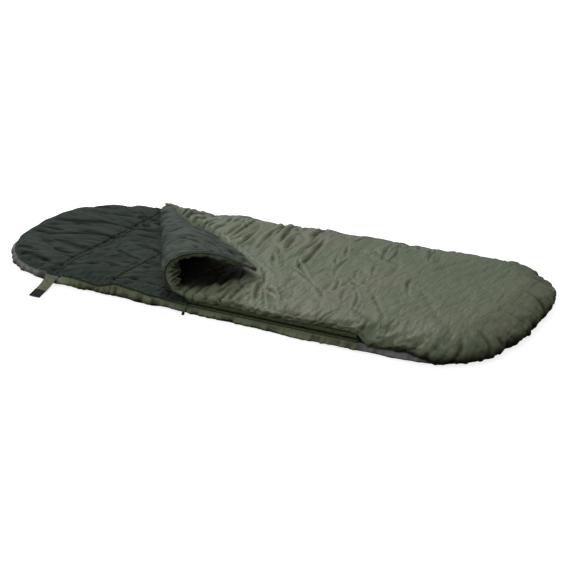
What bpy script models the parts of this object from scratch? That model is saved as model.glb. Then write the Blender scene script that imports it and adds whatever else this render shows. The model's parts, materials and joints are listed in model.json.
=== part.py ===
"""Padded bivvy sleeping bag, lying flat with one corner of its cover folded back.

Metres, +Z up, +X from the head to the foot, -Y the side with the zip. The whole
object is modelled about the bag's own centre line and hung on one empty, which puts
the bottom centre of the overall box at the origin.
"""

import math

import bmesh
import bpy
from mathutils import Vector

# --- Driving dimensions -------------------------------------------------------
BAG_LENGTH = 2.15
BAG_WIDTH = 0.85
HEAD_ROUND = 0.553          # length of the rounded head end
FOOT_ROUND = 0.308          # length of the rounded foot end
HEAD_POWER = 2.38           # superellipse powers: 2 is an ellipse, more is squarer
FOOT_POWER = 2.87

FABRIC = 0.0015             # thickness of a shell or lining cloth with its backing
GAP = 0.0004                # clearance between touching pieces

BASE_RIM_Z = 0.028          # top of the base's side wall
BASE_TOP_Z = 0.045          # lining of the padded base, away from the edge
COVER_UNDER_Z = 0.058       # flat underside of the padded cover
COVER_TOP_Z = 0.0965

SEAM_X = -0.688             # where the head panel of the lining meets the body panel
SEAM_STRIP = 0.030

# The zip stands upright along the near edge. ZIP_Z is the line where it parts.
ZIP_Z = 0.040
ZIP_START_X = -0.634
ZIP_END_X = 0.620
TAPE = 0.0012
COIL_GAP = 0.0016           # between the two coils, for the slider's divider
COIL_HEIGHT = 0.0022
COIL_DEPTH = 0.0032
ZIP_INSET = 0.0046          # from the bag's outline to the middle of the zip
SLIDER_X = -0.069

# The folded corner: the sheet leaves the cover along the fold line, curls over in a
# cone whose mouth faces the near side, and lies back on the cover.
FOLD_FAR = Vector((-0.700, 0.370))
FOLD_NEAR = Vector((-0.070, -0.420))
FOLD_GAP = 0.0062           # from the fold line to the cut end of the cover
FLAP_HINGE_S = 0.5          # share of the curl where the fixed roll ends
PADDING_EDGE = 0.0070
PADDING_MID = 0.0200
FLAP_TAPE = 0.009

# Tab at the head end of the zip
TAB_WIDTH = 0.050
TAB_THICK = 0.0018
TAB_PATCH_LENGTH = 0.055
TAB_PATH = [                # down the middle of the strap
    Vector((-0.6800, -0.4150, 0.0305)), Vector((-0.6775, -0.4300, 0.0270)),
    Vector((-0.6723, -0.4600, 0.0190)), Vector((-0.6635, -0.5100, 0.0092)),
    Vector((-0.6540, -0.5650, 0.0032)),
]

PULL_LEAN = math.radians(38)   # from hanging straight down, towards the near side

# Half the difference between the tab's reach and the far edge centres the box.
CENTRE_Y = (0.565107 - BAG_WIDTH / 2) / 2

HEAD_X = -BAG_LENGTH / 2 + HEAD_ROUND
FOOT_X = BAG_LENGTH / 2 - FOOT_ROUND
FOLD_DIR = (FOLD_NEAR - FOLD_FAR).normalized()
FOLD_SIDE = Vector((-FOLD_DIR.y, FOLD_DIR.x))   # from the fold line towards the foot

COLOURS = {                 # name: (colour, roughness, metallic)
    "shell_olive": ((0.118, 0.132, 0.092), 0.55, 0.0),
    "base_grey": ((0.095, 0.093, 0.100), 0.75, 0.0),
    "lining_slate": ((0.035, 0.045, 0.041), 0.90, 0.0),
    "batting": ((0.80, 0.80, 0.78), 0.95, 0.0),
    "zip_tape": ((0.052, 0.062, 0.034), 0.80, 0.0),
    "zip_coil": ((0.030, 0.036, 0.020), 0.45, 0.0),
    "piping": ((0.190, 0.110, 0.030), 0.70, 0.0),
    "webbing": ((0.115, 0.130, 0.075), 0.80, 0.0),
    "hook_tape": ((0.010, 0.010, 0.011), 0.95, 0.0),
    "slider_metal": ((0.060, 0.060, 0.055), 0.40, 0.9),
    "rubber": ((0.012, 0.012, 0.012), 0.60, 0.0),
}


# --- Scene and materials ------------------------------------------------------
def clear_scene():
    for obj in list(bpy.data.objects):
        bpy.data.objects.remove(obj, do_unlink=True)


def make_material(name):
    colour, roughness, metallic = COLOURS[name]
    material = bpy.data.materials.new(name)
    material.use_nodes = True
    shader = material.node_tree.nodes["Principled BSDF"]
    shader.inputs["Base Color"].default_value = (*colour, 1.0)
    shader.inputs["Roughness"].default_value = roughness
    shader.inputs["Metallic"].default_value = metallic
    return material


def add_object(name, mesh, material, parent):
    mesh.materials.append(material)
    mesh.shade_smooth()
    mesh.set_sharp_from_angle(angle=math.radians(35))
    obj = bpy.data.objects.new(name, mesh)
    bpy.context.scene.collection.objects.link(obj)
    obj.parent = parent
    return obj


def mesh_from(name, points, faces):
    """A mesh from points and faces, with its faces turned to point out."""
    mesh = bpy.data.meshes.new(name)
    mesh.from_pydata([tuple(p) for p in points], [], faces)
    shape = bmesh.new()
    shape.from_mesh(mesh)
    bmesh.ops.recalc_face_normals(shape, faces=shape.faces)
    shape.to_mesh(mesh)
    shape.free()
    return mesh


def loft(name, rings):
    """A closed solid through rings of equal, even length. Each end is capped by faces
    from the ring's first half to its second."""
    count = len(rings[0])
    points = [p for ring in rings for p in ring]
    faces = []
    for r in range(len(rings) - 1):
        for i in range(count):
            j = (i + 1) % count
            faces.append((r * count + i, r * count + j,
                          (r + 1) * count + j, (r + 1) * count + i))
    for start in (0, (len(rings) - 1) * count):
        for i in range(count // 2 - 1):
            k = count - 1 - i
            faces.append((start + i, start + i + 1, start + k - 1, start + k))
    return mesh_from(name, points, faces)


def box_mesh(name, low, high, bevel=0.0):
    corners = [
        Vector((x, y, z))
        for z in (low[2], high[2])
        for x, y in ((low[0], low[1]), (high[0], low[1]), (high[0], high[1]), (low[0], high[1]))
    ]
    mesh = loft(name, [corners[:4], corners[4:]])
    if bevel:
        shape = bmesh.new()
        shape.from_mesh(mesh)
        bmesh.ops.bevel(shape, geom=shape.edges[:], offset=bevel, segments=2,
                        affect="EDGES", profile=0.5)
        shape.to_mesh(mesh)
        shape.free()
    return mesh


def cutter(name, mesh, parent):
    obj = bpy.data.objects.new(name, mesh)
    bpy.context.scene.collection.objects.link(obj)
    obj.parent = parent
    obj.hide_render = True
    obj.display_type = "WIRE"
    return obj


def boolean(obj, other, operation):
    modifier = obj.modifiers.new(operation.lower(), "BOOLEAN")
    modifier.operation = operation
    modifier.object = other


# --- The bag's outline --------------------------------------------------------
def signed_power(value, power):
    return math.copysign(abs(value) ** power, value)


def outline_point(u, inset, z):
    """A point on the outline, drawn in by inset. u runs round it from 0 to 4: the near
    side from the head, the foot end, the far side back, and the head end."""
    half = BAG_WIDTH / 2 - inset
    if u < 1:
        return Vector((HEAD_X + (FOOT_X - HEAD_X) * u, -half, z))
    if u < 2:
        angle = math.pi * (u - 1.5)
        x = FOOT_X + (FOOT_ROUND - inset) * abs(math.cos(angle)) ** (2 / FOOT_POWER)
        return Vector((x, half * signed_power(math.sin(angle), 2 / FOOT_POWER), z))
    if u < 3:
        return Vector((FOOT_X + (HEAD_X - FOOT_X) * (u - 2), half, z))
    angle = math.pi * (u - 2.5)
    x = HEAD_X - (HEAD_ROUND - inset) * abs(math.cos(angle)) ** (2 / HEAD_POWER)
    return Vector((x, half * signed_power(math.sin(angle), 2 / HEAD_POWER), z))


def near_u(x):
    """The outline's parameter at a place on the near side; head end places are below 0."""
    if x >= HEAD_X:
        return (x - HEAD_X) / (FOOT_X - HEAD_X)
    share = ((HEAD_X - x) / HEAD_ROUND) ** (HEAD_POWER / 2)
    return -math.asin(share) / math.pi


def far_u(x):
    if x >= HEAD_X:
        return 2 + (FOOT_X - x) / (FOOT_X - HEAD_X)
    share = ((HEAD_X - x) / HEAD_ROUND) ** (HEAD_POWER / 2)
    return 3 + math.asin(share) / math.pi


def outline_stations():
    """The places round the outline where every ring and strip has a point."""
    straight = [k / 6 for k in range(6)]
    arc = [k / 22 for k in range(22)]
    return (straight + [1 + a for a in arc] + [2 + s for s in straight]
            + [3 + a for a in arc])


def outline_ring(inset, z):
    return [outline_point(u, inset, z) for u in outline_stations()]


def ring_loft(name, profile, material, parent):
    """A solid of the bag's plan shape, through (inset, z) stations."""
    mesh = loft(name, [outline_ring(inset, z) for inset, z in profile])
    return add_object(name, mesh, material, parent)


def edge_strip(name, u0, u1, profile, material, parent):
    """A closed (inset, z) profile swept along part of the outline."""
    stations = [u + turn for turn in (-4, 0) for u in outline_stations()]
    between = [u for u in stations if u0 + 0.001 < u < u1 - 0.001]
    rings = [
        [outline_point(u % 4, inset, z) for inset, z in profile]
        for u in [u0] + between + [u1]
    ]
    return add_object(name, loft(name, rings), material, parent)


# --- Padded base --------------------------------------------------------------
BASE_WALL = [(0.030, 0.0), (0.010, 0.003), (0.0, 0.014), (0.004, BASE_RIM_Z)]
LINING_DOME = [(0.0085, BASE_RIM_Z + 0.0006), (0.050, 0.0403), (0.120, BASE_TOP_Z)]


def raised(profile, height):
    return [(inset, z + height) for inset, z in profile]


def dome_skin(low, thickness):
    """A thin skin that follows the lining's crown, from low to low plus thickness."""
    under = raised(LINING_DOME, low)
    over = raised(LINING_DOME, low + thickness)
    return list(reversed(under)) + over


def build_base(materials, parent):
    wall_in = [(0.0305, FABRIC), (0.0113, 0.0044), (0.0016, 0.014), (0.0056, BASE_RIM_Z)]
    ring_loft("base_shell", BASE_WALL + wall_in[::-1], materials["base_grey"], parent)

    filling = [(0.031, FABRIC + GAP), (0.0118, 0.0049), (0.0021, 0.0142),
               (0.0062, BASE_RIM_Z - 0.0014)]
    crown = raised(LINING_DOME, -FABRIC - GAP)
    ring_loft("base_batting", filling + crown, materials["batting"], parent)

    head = ring_loft("base_lining_head", dome_skin(-FABRIC, FABRIC),
                     materials["lining_slate"], parent)
    body = ring_loft("base_lining_body", dome_skin(-FABRIC, FABRIC),
                     materials["lining_slate"], parent)
    strip = ring_loft("lining_seam_strip", dome_skin(GAP, FABRIC),
                      materials["lining_slate"], parent)
    reach = BAG_WIDTH
    head_cut = cutter("cut_head", box_mesh(
        "cut_head", (-BAG_LENGTH, -reach, -0.1), (SEAM_X - GAP, reach, 0.2)), parent)
    body_cut = cutter("cut_body", box_mesh(
        "cut_body", (SEAM_X, -reach, -0.1), (BAG_LENGTH, reach, 0.2)), parent)
    strip_cut = cutter("cut_strip", box_mesh(
        "cut_strip", (SEAM_X - SEAM_STRIP / 2, 0.03 - BAG_WIDTH / 2, -0.1),
        (SEAM_X + SEAM_STRIP / 2, BAG_WIDTH / 2 - 0.03, 0.2)), parent)
    boolean(head, head_cut, "INTERSECT")
    boolean(body, body_cut, "INTERSECT")
    boolean(strip, strip_cut, "INTERSECT")

    band = [(0.0096, 0.0026), (-GAP, 0.014), (0.0036, BASE_RIM_Z),
            (0.0026, BASE_RIM_Z + 0.0004), (-GAP - TAPE, 0.0145), (0.0082, 0.0022)]
    edge_strip("near_side_band", near_u(ZIP_START_X), near_u(ZIP_END_X), band,
               materials["shell_olive"], parent)


def join_profile(low, high, inset):
    return [(inset, low), (inset, high), (inset + FABRIC, high), (inset + FABRIC, low)]


def build_side_gussets(materials, parent):
    """The cloth walls that join the cover to the base on the far side and at the foot."""
    wall = join_profile(BASE_RIM_Z + GAP, COVER_UNDER_Z - GAP, 0.0042)
    edge_strip("foot_gusset", near_u(ZIP_END_X + 0.012), 2.0, wall,
               materials["shell_olive"], parent)
    edge_strip("far_gusset", 2.0015, far_u(FOLD_FAR.x), wall,
               materials["shell_olive"], parent)
    corner = outline_point(far_u(FOLD_FAR.x - 0.012), 0.006, 0.050)
    size = Vector((0.006, 0.004, 0.006))
    add_object("far_corner_bartack",
               box_mesh("far_corner_bartack", corner - size, corner + size, 0.0012),
               materials["hook_tape"], parent)


# --- Padded cover -------------------------------------------------------------
def build_cover(materials, parent):
    outer = [(0.0045, COVER_UNDER_Z), (0.0, 0.066), (0.006, 0.080),
             (0.035, 0.092), (0.100, COVER_TOP_Z)]
    inner = [(0.0060, COVER_UNDER_Z), (0.0016, 0.066), (0.0074, 0.0788),
             (0.0356, 0.0905), (0.100, COVER_TOP_Z - FABRIC)]
    shell = ring_loft("cover_shell", outer[::-1] + inner, materials["shell_olive"], parent)
    fill_low = COVER_UNDER_Z + FABRIC + GAP
    filling = [(0.0066, fill_low), (0.0021, 0.0662), (0.0078, 0.0784),
               (0.0360, 0.0900), (0.100, COVER_TOP_Z - FABRIC - GAP)]
    batting = ring_loft("cover_batting", filling, materials["batting"], parent)
    plate = [(0.0066, COVER_UNDER_Z), (0.0066, COVER_UNDER_Z + FABRIC)]
    lining = ring_loft("cover_lining", plate, materials["lining_slate"], parent)

    # Everything on the head side of the fold line belongs to the roll and the flap.
    far, near = FOLD_FAR + FOLD_GAP * FOLD_SIDE, FOLD_NEAR + FOLD_GAP * FOLD_SIDE
    head_edge = FOLD_FAR.x - 0.012
    beyond = near + FOLD_DIR * 0.5
    plan = [Vector((head_edge, 1.0)), Vector((head_edge, far.y)), far, beyond,
            Vector((-2.0, beyond.y)), Vector((-2.0, 1.0))]
    rings = [[Vector((p.x, p.y, z)) for p in plan] for z in (-0.1, 0.3)]
    fold_cut = cutter("cut_fold", loft("cut_fold", rings), parent)
    for layer in (shell, batting, lining):
        boolean(layer, fold_cut, "DIFFERENCE")


# --- Folded corner ------------------------------------------------------------
# Both ends of the curl as (along the fold line, across it, height) of the lining,
# which is the outside of the roll. s runs from the fold line, 0, to the head edge, 1.
FAR_END = [
    (0.0, 0.000, 0.058), (0.0, -0.018, 0.062), (0.0, -0.022, 0.079), (0.0, -0.014, 0.094),
    (0.0, 0.004, 0.1025), (0.0, 0.020, 0.1045), (0.0, 0.036, 0.1045), (0.0, 0.050, 0.1040),
]
MOUTH = [
    (1.000, 0.000, 0.058), (0.965, -0.052, 0.070), (0.925, -0.077, 0.125),
    (0.912, -0.045, 0.176), (0.935, 0.040, 0.207), (0.958, 0.125, 0.200),
    (0.955, 0.190, 0.168), (0.922, 0.268, 0.113),
]


def smooth_curve(points, s):
    """A Catmull-Rom curve through the points, s from 0 to 1."""
    last = len(points) - 1
    place = min(max(s, 0.0), 1.0) * last
    k = min(int(place), last - 1)
    f = place - k
    p0, p1, p2, p3 = (Vector(points[min(max(k + i, 0), last)]) for i in (-1, 0, 1, 2))
    return 0.5 * ((2 * p1) + (p2 - p0) * f + (2 * p0 - 5 * p1 + 4 * p2 - p3) * f ** 2
                  + (3 * p1 - p0 - 3 * p2 + p3) * f ** 3)


def fold_surface(s, t):
    """The lining's outer face: t is 0 at the far end of the fold and 1 at its mouth."""
    local = smooth_curve(FAR_END, s).lerp(smooth_curve(MOUTH, s), t)
    plan = FOLD_FAR + FOLD_DIR * local.x + FOLD_SIDE * local.y
    return Vector((plan.x, plan.y, local.z))


def fold_normal(s, t):
    step = 0.004
    low, high = max(s - step, 0.0), min(s + step, 1.0)
    across = fold_surface(high, t) - fold_surface(low, t)
    along = fold_surface(s, t + step) - fold_surface(s, t - step)
    return along.cross(across).normalized()


def smoothstep(low, high, value):
    x = min(max((value - low) / (high - low), 0.0), 1.0)
    return x * x * (3 - 2 * x)


def padding(s, t):
    """Total thickness of the folded quilt: thin at its sewn edges."""
    body = smoothstep(0.0, 0.5, t) * (1 - 0.55 * smoothstep(0.88, 1.0, t))
    body *= 1 - smoothstep(0.70, 1.0, s)
    return PADDING_EDGE + (PADDING_MID - PADDING_EDGE) * body


def fold_layer(name, span_s, span_t, cuts, depths, material, parent):
    """A layer of the folded quilt between two depths under the lining's face."""
    (s0, s1), (t0, t1), (count_s, count_t) = span_s, span_t, cuts
    rings = []
    for j in range(count_t + 1):
        t = t0 + (t1 - t0) * j / count_t
        ring = []
        for depth, order in ((depths[0], range(count_s + 1)),
                             (depths[1], range(count_s, -1, -1))):
            for i in order:
                s = s0 + (s1 - s0) * i / count_s
                ring.append(fold_surface(s, t) - fold_normal(s, t) * depth(s, t))
        rings.append(ring)
    return add_object(name, loft(name, rings), material, parent)


def build_fold(prefix, span_s, cuts, materials, parent):
    """Lining, batting, shell and open zip half of one part of the folded corner."""
    layers = (
        ("lining", "lining_slate", lambda s, t: 0.0, lambda s, t: TAPE),
        ("batting", "batting", lambda s, t: 0.0016, lambda s, t: padding(s, t) - 0.0016),
        ("shell", "shell_olive", lambda s, t: padding(s, t) - TAPE, padding),
    )
    for part, material, top, under in layers:
        fold_layer(f"{prefix}_{part}", span_s, (0.0, 1.0), cuts, (top, under),
                   materials[material], parent)
    # The zip half stands out past the mouth's edge, in the middle of the padding.
    reach = 1.0 / (FOLD_NEAR - FOLD_FAR).length
    space = 0.0015 * reach
    tape_end = 1 + space + FLAP_TAPE * reach
    coil_end = tape_end + space + COIL_HEIGHT * reach
    trims = (
        ("zip_tape", "zip_tape", 1 + space, tape_end, 0.0050, 0.0062),
        ("zip_coil", "zip_coil", tape_end + space, coil_end, 0.0040, 0.0072),
        ("piping", "piping", 1 + space, 1 + space + 0.002 * reach, 0.0018, 0.0038),
    )
    for part, material, start, end, top, under in trims:
        fold_layer(f"{prefix}_{part}", span_s, (start, end), (cuts[0], 1),
                   (lambda s, t, d=top: d, lambda s, t, d=under: d),
                   materials[material], parent)


def build_head_binding(materials, parent):
    """The bound edge of the cover, along the flap's free side."""
    wrap = 0.0035
    rings = []
    for j in range(13):
        t = 0.004 + 0.990 * j / 12
        edge = fold_surface(1.0, t)
        out = (edge - fold_surface(0.97, t)).normalized()
        normal = fold_normal(1.0, t)
        start = edge + out * GAP
        rings.append([start, start + out * wrap - normal * 0.0010,
                      start + out * wrap - normal * (PADDING_EDGE - 0.0010),
                      start - normal * PADDING_EDGE])
    add_object("flap_head_binding", loft("flap_head_binding", rings),
               materials["webbing"], parent)


def build_loop_patch(materials, parent):
    """The loop half for the tab's hooks, on the flap's outer cloth at its corner."""
    def under(extra):
        return lambda s, t: padding(s, t) + extra

    fold_layer("flap_loop_patch", (0.84, 0.93), (0.93, 0.985), (4, 2),
               (under(GAP), under(GAP + 0.0012)), materials["hook_tape"], parent)


# --- Zip ----------------------------------------------------------------------
def zip_profile(low, high, depth):
    near, away = ZIP_INSET - depth / 2, ZIP_INSET + depth / 2
    return [(near, low), (near, high), (away, high), (away, low)]


def build_zip(materials, parent):
    coil_in = COIL_GAP / 2
    coil_out = coil_in + COIL_HEIGHT
    start, slider, end = near_u(ZIP_START_X), near_u(SLIDER_X), near_u(ZIP_END_X)
    rows = (
        ("lower_zip_tape", "zip_tape", start, BASE_RIM_Z + 2 * GAP,
         ZIP_Z - coil_out - GAP, TAPE),
        ("lower_zip_coil", "zip_coil", start, ZIP_Z - coil_out, ZIP_Z - coil_in, COIL_DEPTH),
        ("upper_zip_coil", "zip_coil", slider, ZIP_Z + coil_in, ZIP_Z + coil_out, COIL_DEPTH),
        ("upper_zip_tape", "zip_tape", slider, ZIP_Z + coil_out + GAP,
         COVER_UNDER_Z - GAP, TAPE),
    )
    for name, material, first, low, high, depth in rows:
        edge_strip(name, first, end, zip_profile(low, high, depth),
                   materials[material], parent)
    cord = [(0.0012, BASE_RIM_Z + 0.0012), (0.0012, BASE_RIM_Z + 0.0030),
            (0.0030, BASE_RIM_Z + 0.0030), (0.0030, BASE_RIM_Z + 0.0012)]
    edge_strip("lower_piping", start, end, cord, materials["piping"], parent)

    # The end stop closes both coils, and the top stop only the lower one.
    stop_half = 0.0034
    end_at = Vector((ZIP_END_X + stop_half, -BAG_WIDTH / 2 + ZIP_INSET, ZIP_Z))
    top_at = outline_point(near_u(ZIP_START_X - stop_half) % 4, ZIP_INSET, ZIP_Z - 0.002)
    for name, centre, size in (
        ("zip_end_stop", end_at, Vector((0.0028, 0.0026, 0.0052))),
        ("zip_top_stop", top_at, Vector((0.0028, 0.0026, 0.0026))),
    ):
        add_object(name, box_mesh(name, centre - size, centre + size, 0.0006),
                   materials["zip_coil"], parent)


def build_slider(materials, parent):
    """Two plates round the coils, joined by the divider, with a bail on the front."""
    edge = -BAG_WIDTH / 2 + ZIP_INSET
    half_length, half_height = 0.0065, 0.0058
    front_in, front_out = COIL_DEPTH / 2 + GAP, COIL_DEPTH / 2 + GAP + 0.0018

    def block(name, x, y, z, bevel=0.0):
        low = (SLIDER_X + x[0], edge + y[0], ZIP_Z + z[0])
        high = (SLIDER_X + x[1], edge + y[1], ZIP_Z + z[1])
        return box_mesh(name, low, high, bevel)

    plate_x, plate_z = (-half_length, half_length), (-half_height, half_height)
    body = add_object("slider_body", block(
        "slider_body", plate_x, (-front_out, -front_in), plate_z, 0.0005),
        materials["slider_metal"], parent)
    joins = [
        ("back", plate_x, (front_in, front_out), plate_z),
        ("divider", (-half_length, -0.0025), (-front_out + 0.0006, front_out - 0.0006),
         (-COIL_GAP / 2 + 0.0003, COIL_GAP / 2 - 0.0003)),
    ]
    for side in (-1, 1):
        lip = sorted((side * (half_height - 0.0012), side * half_height))
        joins.append((f"front_lip_{side}", plate_x, (-front_in - 0.0006, -TAPE / 2 - 0.0005), lip))
        joins.append((f"back_lip_{side}", plate_x, (TAPE / 2 + 0.0005, front_in + 0.0006), lip))
    for name, x, y, z in joins:
        boolean(body, cutter(f"slider_{name}", block(f"slider_{name}", x, y, z), parent), "UNION")

    # The bail is an arch over the front plate, through which the pull's ring runs.
    foot_y, wire = edge - front_out - GAP, 0.0010
    angles = [math.pi * k / 8 for k in range(9)]
    arch = [(foot_y - 0.0030 * math.sin(a), ZIP_Z + 0.0040 * math.cos(a)) for a in angles]
    arch += [(foot_y - 0.0042 * math.sin(a), ZIP_Z + 0.0052 * math.cos(a))
             for a in reversed(angles)]
    rings = [[Vector((SLIDER_X + x, y, z)) for y, z in arch] for x in (-wire, wire)]
    add_object("slider_bail", loft("slider_bail", rings), materials["slider_metal"], parent)
    return Vector((SLIDER_X, foot_y - 0.0016, ZIP_Z))


def build_pull(pivot, materials, parent):
    """The ring, webbing and moulded end that hang from the bail. Their own frame has
    -Z down the pull, and leans out from the bag's side."""
    frame = bpy.data.objects.new("pull_frame", None)
    bpy.context.scene.collection.objects.link(frame)
    frame.parent = parent
    frame.location = pivot
    frame.rotation_euler = (-PULL_LEAN, 0.0, 0.0)

    wire, half, drop = 0.0006, 0.0030, 0.0085
    path = [(half, 0.0), (half, -drop), (-half, -drop), (-half, 0.0)]
    outer = [(x + math.copysign(wire, x), z + (wire if z == 0.0 else -wire)) for x, z in path]
    inner = [(x - math.copysign(wire, x), z - (wire if z == 0.0 else -wire)) for x, z in path]
    points = [Vector((x, y, z)) for x, z in outer + inner for y in (-wire, wire)]
    faces = []
    for k in range(4):
        n = (k + 1) % 4
        o, p, i, j = 2 * k, 2 * n, 8 + 2 * k, 8 + 2 * n
        faces += [(o, p, p + 1, o + 1), (i, i + 1, j + 1, j), (o, i, j, p),
                  (o + 1, p + 1, j + 1, i + 1)]
    add_object("pull_ring", mesh_from("pull_ring", points, faces),
               materials["slider_metal"], frame)

    strap = box_mesh("pull_webbing", (-0.0040, -0.0014, -0.0330), (0.0040, 0.0014, -0.0098), 0.0005)
    add_object("pull_webbing", strap, materials["webbing"], frame)
    tip = box_mesh("pull_tip", (-0.0052, -0.0024, -0.0450), (0.0052, 0.0024, -0.0334), 0.0012)
    add_object("pull_tip", tip, materials["rubber"], frame)


# --- Head tab -----------------------------------------------------------------
def strap_rings(path, width, thickness, shift=0.0):
    """Cross-sections of a flat strap along a path, lifted by shift."""
    rings = []
    for k, place in enumerate(path):
        before, after = path[max(k - 1, 0)], path[min(k + 1, len(path) - 1)]
        run = Vector((0.0, after.y - before.y, after.z - before.z)).normalized()
        up = Vector((0.0, run.z, -run.y))
        middle = place + up * shift
        side = Vector((width / 2, 0.0, 0.0))
        rings.append([middle - side - up * thickness / 2, middle + side - up * thickness / 2,
                      middle + side + up * thickness / 2, middle - side + up * thickness / 2])
    return rings


def build_tab(materials, parent):
    strap = loft("tab_strap", strap_rings(TAB_PATH, TAB_WIDTH, TAB_THICK))
    add_object("tab_strap", strap, materials["webbing"], parent)
    end, before = TAB_PATH[-1], TAB_PATH[-2]
    start = end + (before - end).normalized() * (TAB_PATCH_LENGTH - 0.0006)
    last = end + (before - end).normalized() * 0.0006
    patch = strap_rings([start, last], TAB_WIDTH - 0.001, 0.0012,
                        TAB_THICK / 2 + 0.0006 + GAP)
    add_object("tab_hook_patch", loft("tab_hook_patch", patch), materials["hook_tape"], parent)


def main():
    clear_scene()
    materials = {name: make_material(name) for name in COLOURS}
    bag = bpy.data.objects.new("bag_frame", None)
    bpy.context.scene.collection.objects.link(bag)
    bag.location = (0.0, CENTRE_Y, 0.0)

    build_base(materials, bag)
    build_side_gussets(materials, bag)
    build_cover(materials, bag)
    build_fold("roll", (0.0, FLAP_HINGE_S - 0.001), (10, 8), materials, bag)
    build_fold("flap", (FLAP_HINGE_S + 0.001, 1.0), (8, 8), materials, bag)
    build_head_binding(materials, bag)
    build_loop_patch(materials, bag)
    build_zip(materials, bag)
    pivot = build_slider(materials, bag)
    build_pull(pivot, materials, bag)
    build_tab(materials, bag)


main()
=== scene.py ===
import json
import math

import bmesh
import bpy
import numpy as np
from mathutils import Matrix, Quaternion, Vector, geometry
from mathutils.bvhtree import BVHTree
from mathutils.kdtree import KDTree
from numpy.linalg import norm


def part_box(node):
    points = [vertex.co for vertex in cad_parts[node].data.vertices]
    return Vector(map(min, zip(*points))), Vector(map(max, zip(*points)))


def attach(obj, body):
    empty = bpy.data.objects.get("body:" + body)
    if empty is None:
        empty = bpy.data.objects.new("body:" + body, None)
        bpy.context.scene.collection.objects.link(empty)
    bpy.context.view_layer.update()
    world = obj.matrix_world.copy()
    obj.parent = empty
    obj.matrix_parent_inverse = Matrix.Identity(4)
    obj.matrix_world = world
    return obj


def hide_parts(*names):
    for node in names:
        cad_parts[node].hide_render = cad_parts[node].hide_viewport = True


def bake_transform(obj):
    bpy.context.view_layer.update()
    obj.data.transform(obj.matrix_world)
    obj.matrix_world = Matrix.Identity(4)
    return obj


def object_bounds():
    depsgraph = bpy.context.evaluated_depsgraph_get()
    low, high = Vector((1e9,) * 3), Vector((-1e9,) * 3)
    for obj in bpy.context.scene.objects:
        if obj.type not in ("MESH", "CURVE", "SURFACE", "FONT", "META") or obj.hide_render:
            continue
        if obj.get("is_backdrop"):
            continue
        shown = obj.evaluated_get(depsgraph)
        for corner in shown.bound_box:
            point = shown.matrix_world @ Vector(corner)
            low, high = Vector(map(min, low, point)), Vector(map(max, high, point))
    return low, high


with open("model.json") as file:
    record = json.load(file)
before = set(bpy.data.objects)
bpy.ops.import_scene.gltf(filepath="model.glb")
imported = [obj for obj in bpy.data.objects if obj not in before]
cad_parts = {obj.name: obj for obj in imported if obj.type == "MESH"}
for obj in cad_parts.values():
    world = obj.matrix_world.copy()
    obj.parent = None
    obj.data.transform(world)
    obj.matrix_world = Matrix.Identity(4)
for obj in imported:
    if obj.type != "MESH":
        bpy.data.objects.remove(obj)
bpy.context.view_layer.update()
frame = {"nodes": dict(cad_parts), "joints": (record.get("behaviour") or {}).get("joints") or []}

RNG = np.random.default_rng(20)

# --- Sizes, in metres. "bag frame" is centred on the bag's own outline. ---
low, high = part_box("base_shell")
LENGTH, WIDTH = high.x - low.x, high.y - low.y
CENTRE_Y = (low.y + high.y) / 2
RIM_Z = high.z
HEAD_ROUND, FOOT_ROUND = 0.553, 0.308
HEAD_POWER, FOOT_POWER = 2.38, 2.87
HEAD_X = -LENGTH / 2 + HEAD_ROUND
FOOT_X = LENGTH / 2 - FOOT_ROUND

SEAM_X = sum(v.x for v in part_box("lining_seam_strip")) / 2
QUILT_PITCH = 0.26
ZIP_START_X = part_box("lower_zip_tape")[0].x
ZIP_END_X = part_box("lower_zip_tape")[1].x
SLIDER_X = sum(v.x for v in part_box("slider_body")) / 2
ZIP_INSET = 0.0046

FOLD_FAR = np.array([-0.700, 0.370])
FOLD_NEAR = np.array([-0.070, -0.420])
FOLD_DIR = (FOLD_NEAR - FOLD_FAR) / norm(FOLD_NEAR - FOLD_FAR)
FOLD_SIDE = np.array([-FOLD_DIR[1], FOLD_DIR[0]])
COVER_HEAD_X = FOLD_FAR[0]
COVER_UNDER = 0.0590
SIDE_WRAP = 0.049            # cloth that turns down the cover's sides
PROFILE = 0.149              # cloth from the cover's seam to its flat top

# The rolled corner as (along the fold line, across it, height) of its lining.
FAR_END = np.array([
    (0.0, 0.000, 0.058), (0.0, -0.010, 0.0595), (0.0, -0.014, 0.066), (0.0, -0.012, 0.074),
    (0.0, -0.008, 0.080), (0.0, -0.004, 0.083), (0.0, 0.000, 0.084), (0.0, 0.003, 0.084),
])
MOUTH = np.array([
    (1.000, 0.000, 0.058), (0.965, -0.052, 0.070), (0.925, -0.077, 0.125),
    (0.912, -0.045, 0.176), (0.935, 0.040, 0.207), (0.958, 0.125, 0.200),
    (0.955, 0.190, 0.168), (0.922, 0.268, 0.113),
])
QUILT = 0.031                # thickness of the padded sheet in the roll
TAB_PATH = np.array([(-0.6800, -0.4150, 0.0305), (-0.6775, -0.4300, 0.0270),
                     (-0.6723, -0.4600, 0.0190), (-0.6635, -0.5100, 0.0092),
                     (-0.6540, -0.5650, 0.0032)])
TAB_WIDE = 0.050
HOOK_LONG = 0.055            # hook tape at the strap's end


# --- Small maths ---
def ease(a, b, x):
    """0 at a, 1 at b and smooth between them."""
    x = np.clip((np.asarray(x, float) - a) / (np.asarray(b, float) - a), 0, 1)
    return x * x * (3 - 2 * x)


def bell(x, width):
    return np.exp(-(x / width) ** 2)


def unit(v):
    return v / norm(v, axis=1)[:, None]


def distances(path):
    """How far along a path each of its points is."""
    return np.r_[0, np.cumsum(norm(np.diff(path, axis=0), axis=1))]


def plan(*columns):
    return np.stack(columns, -1)


def plan_tree(points):
    tree = KDTree(len(points))
    for k, p in enumerate(points):
        tree.insert((p[0], p[1], 0), k)
    tree.balance()
    return tree


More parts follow.
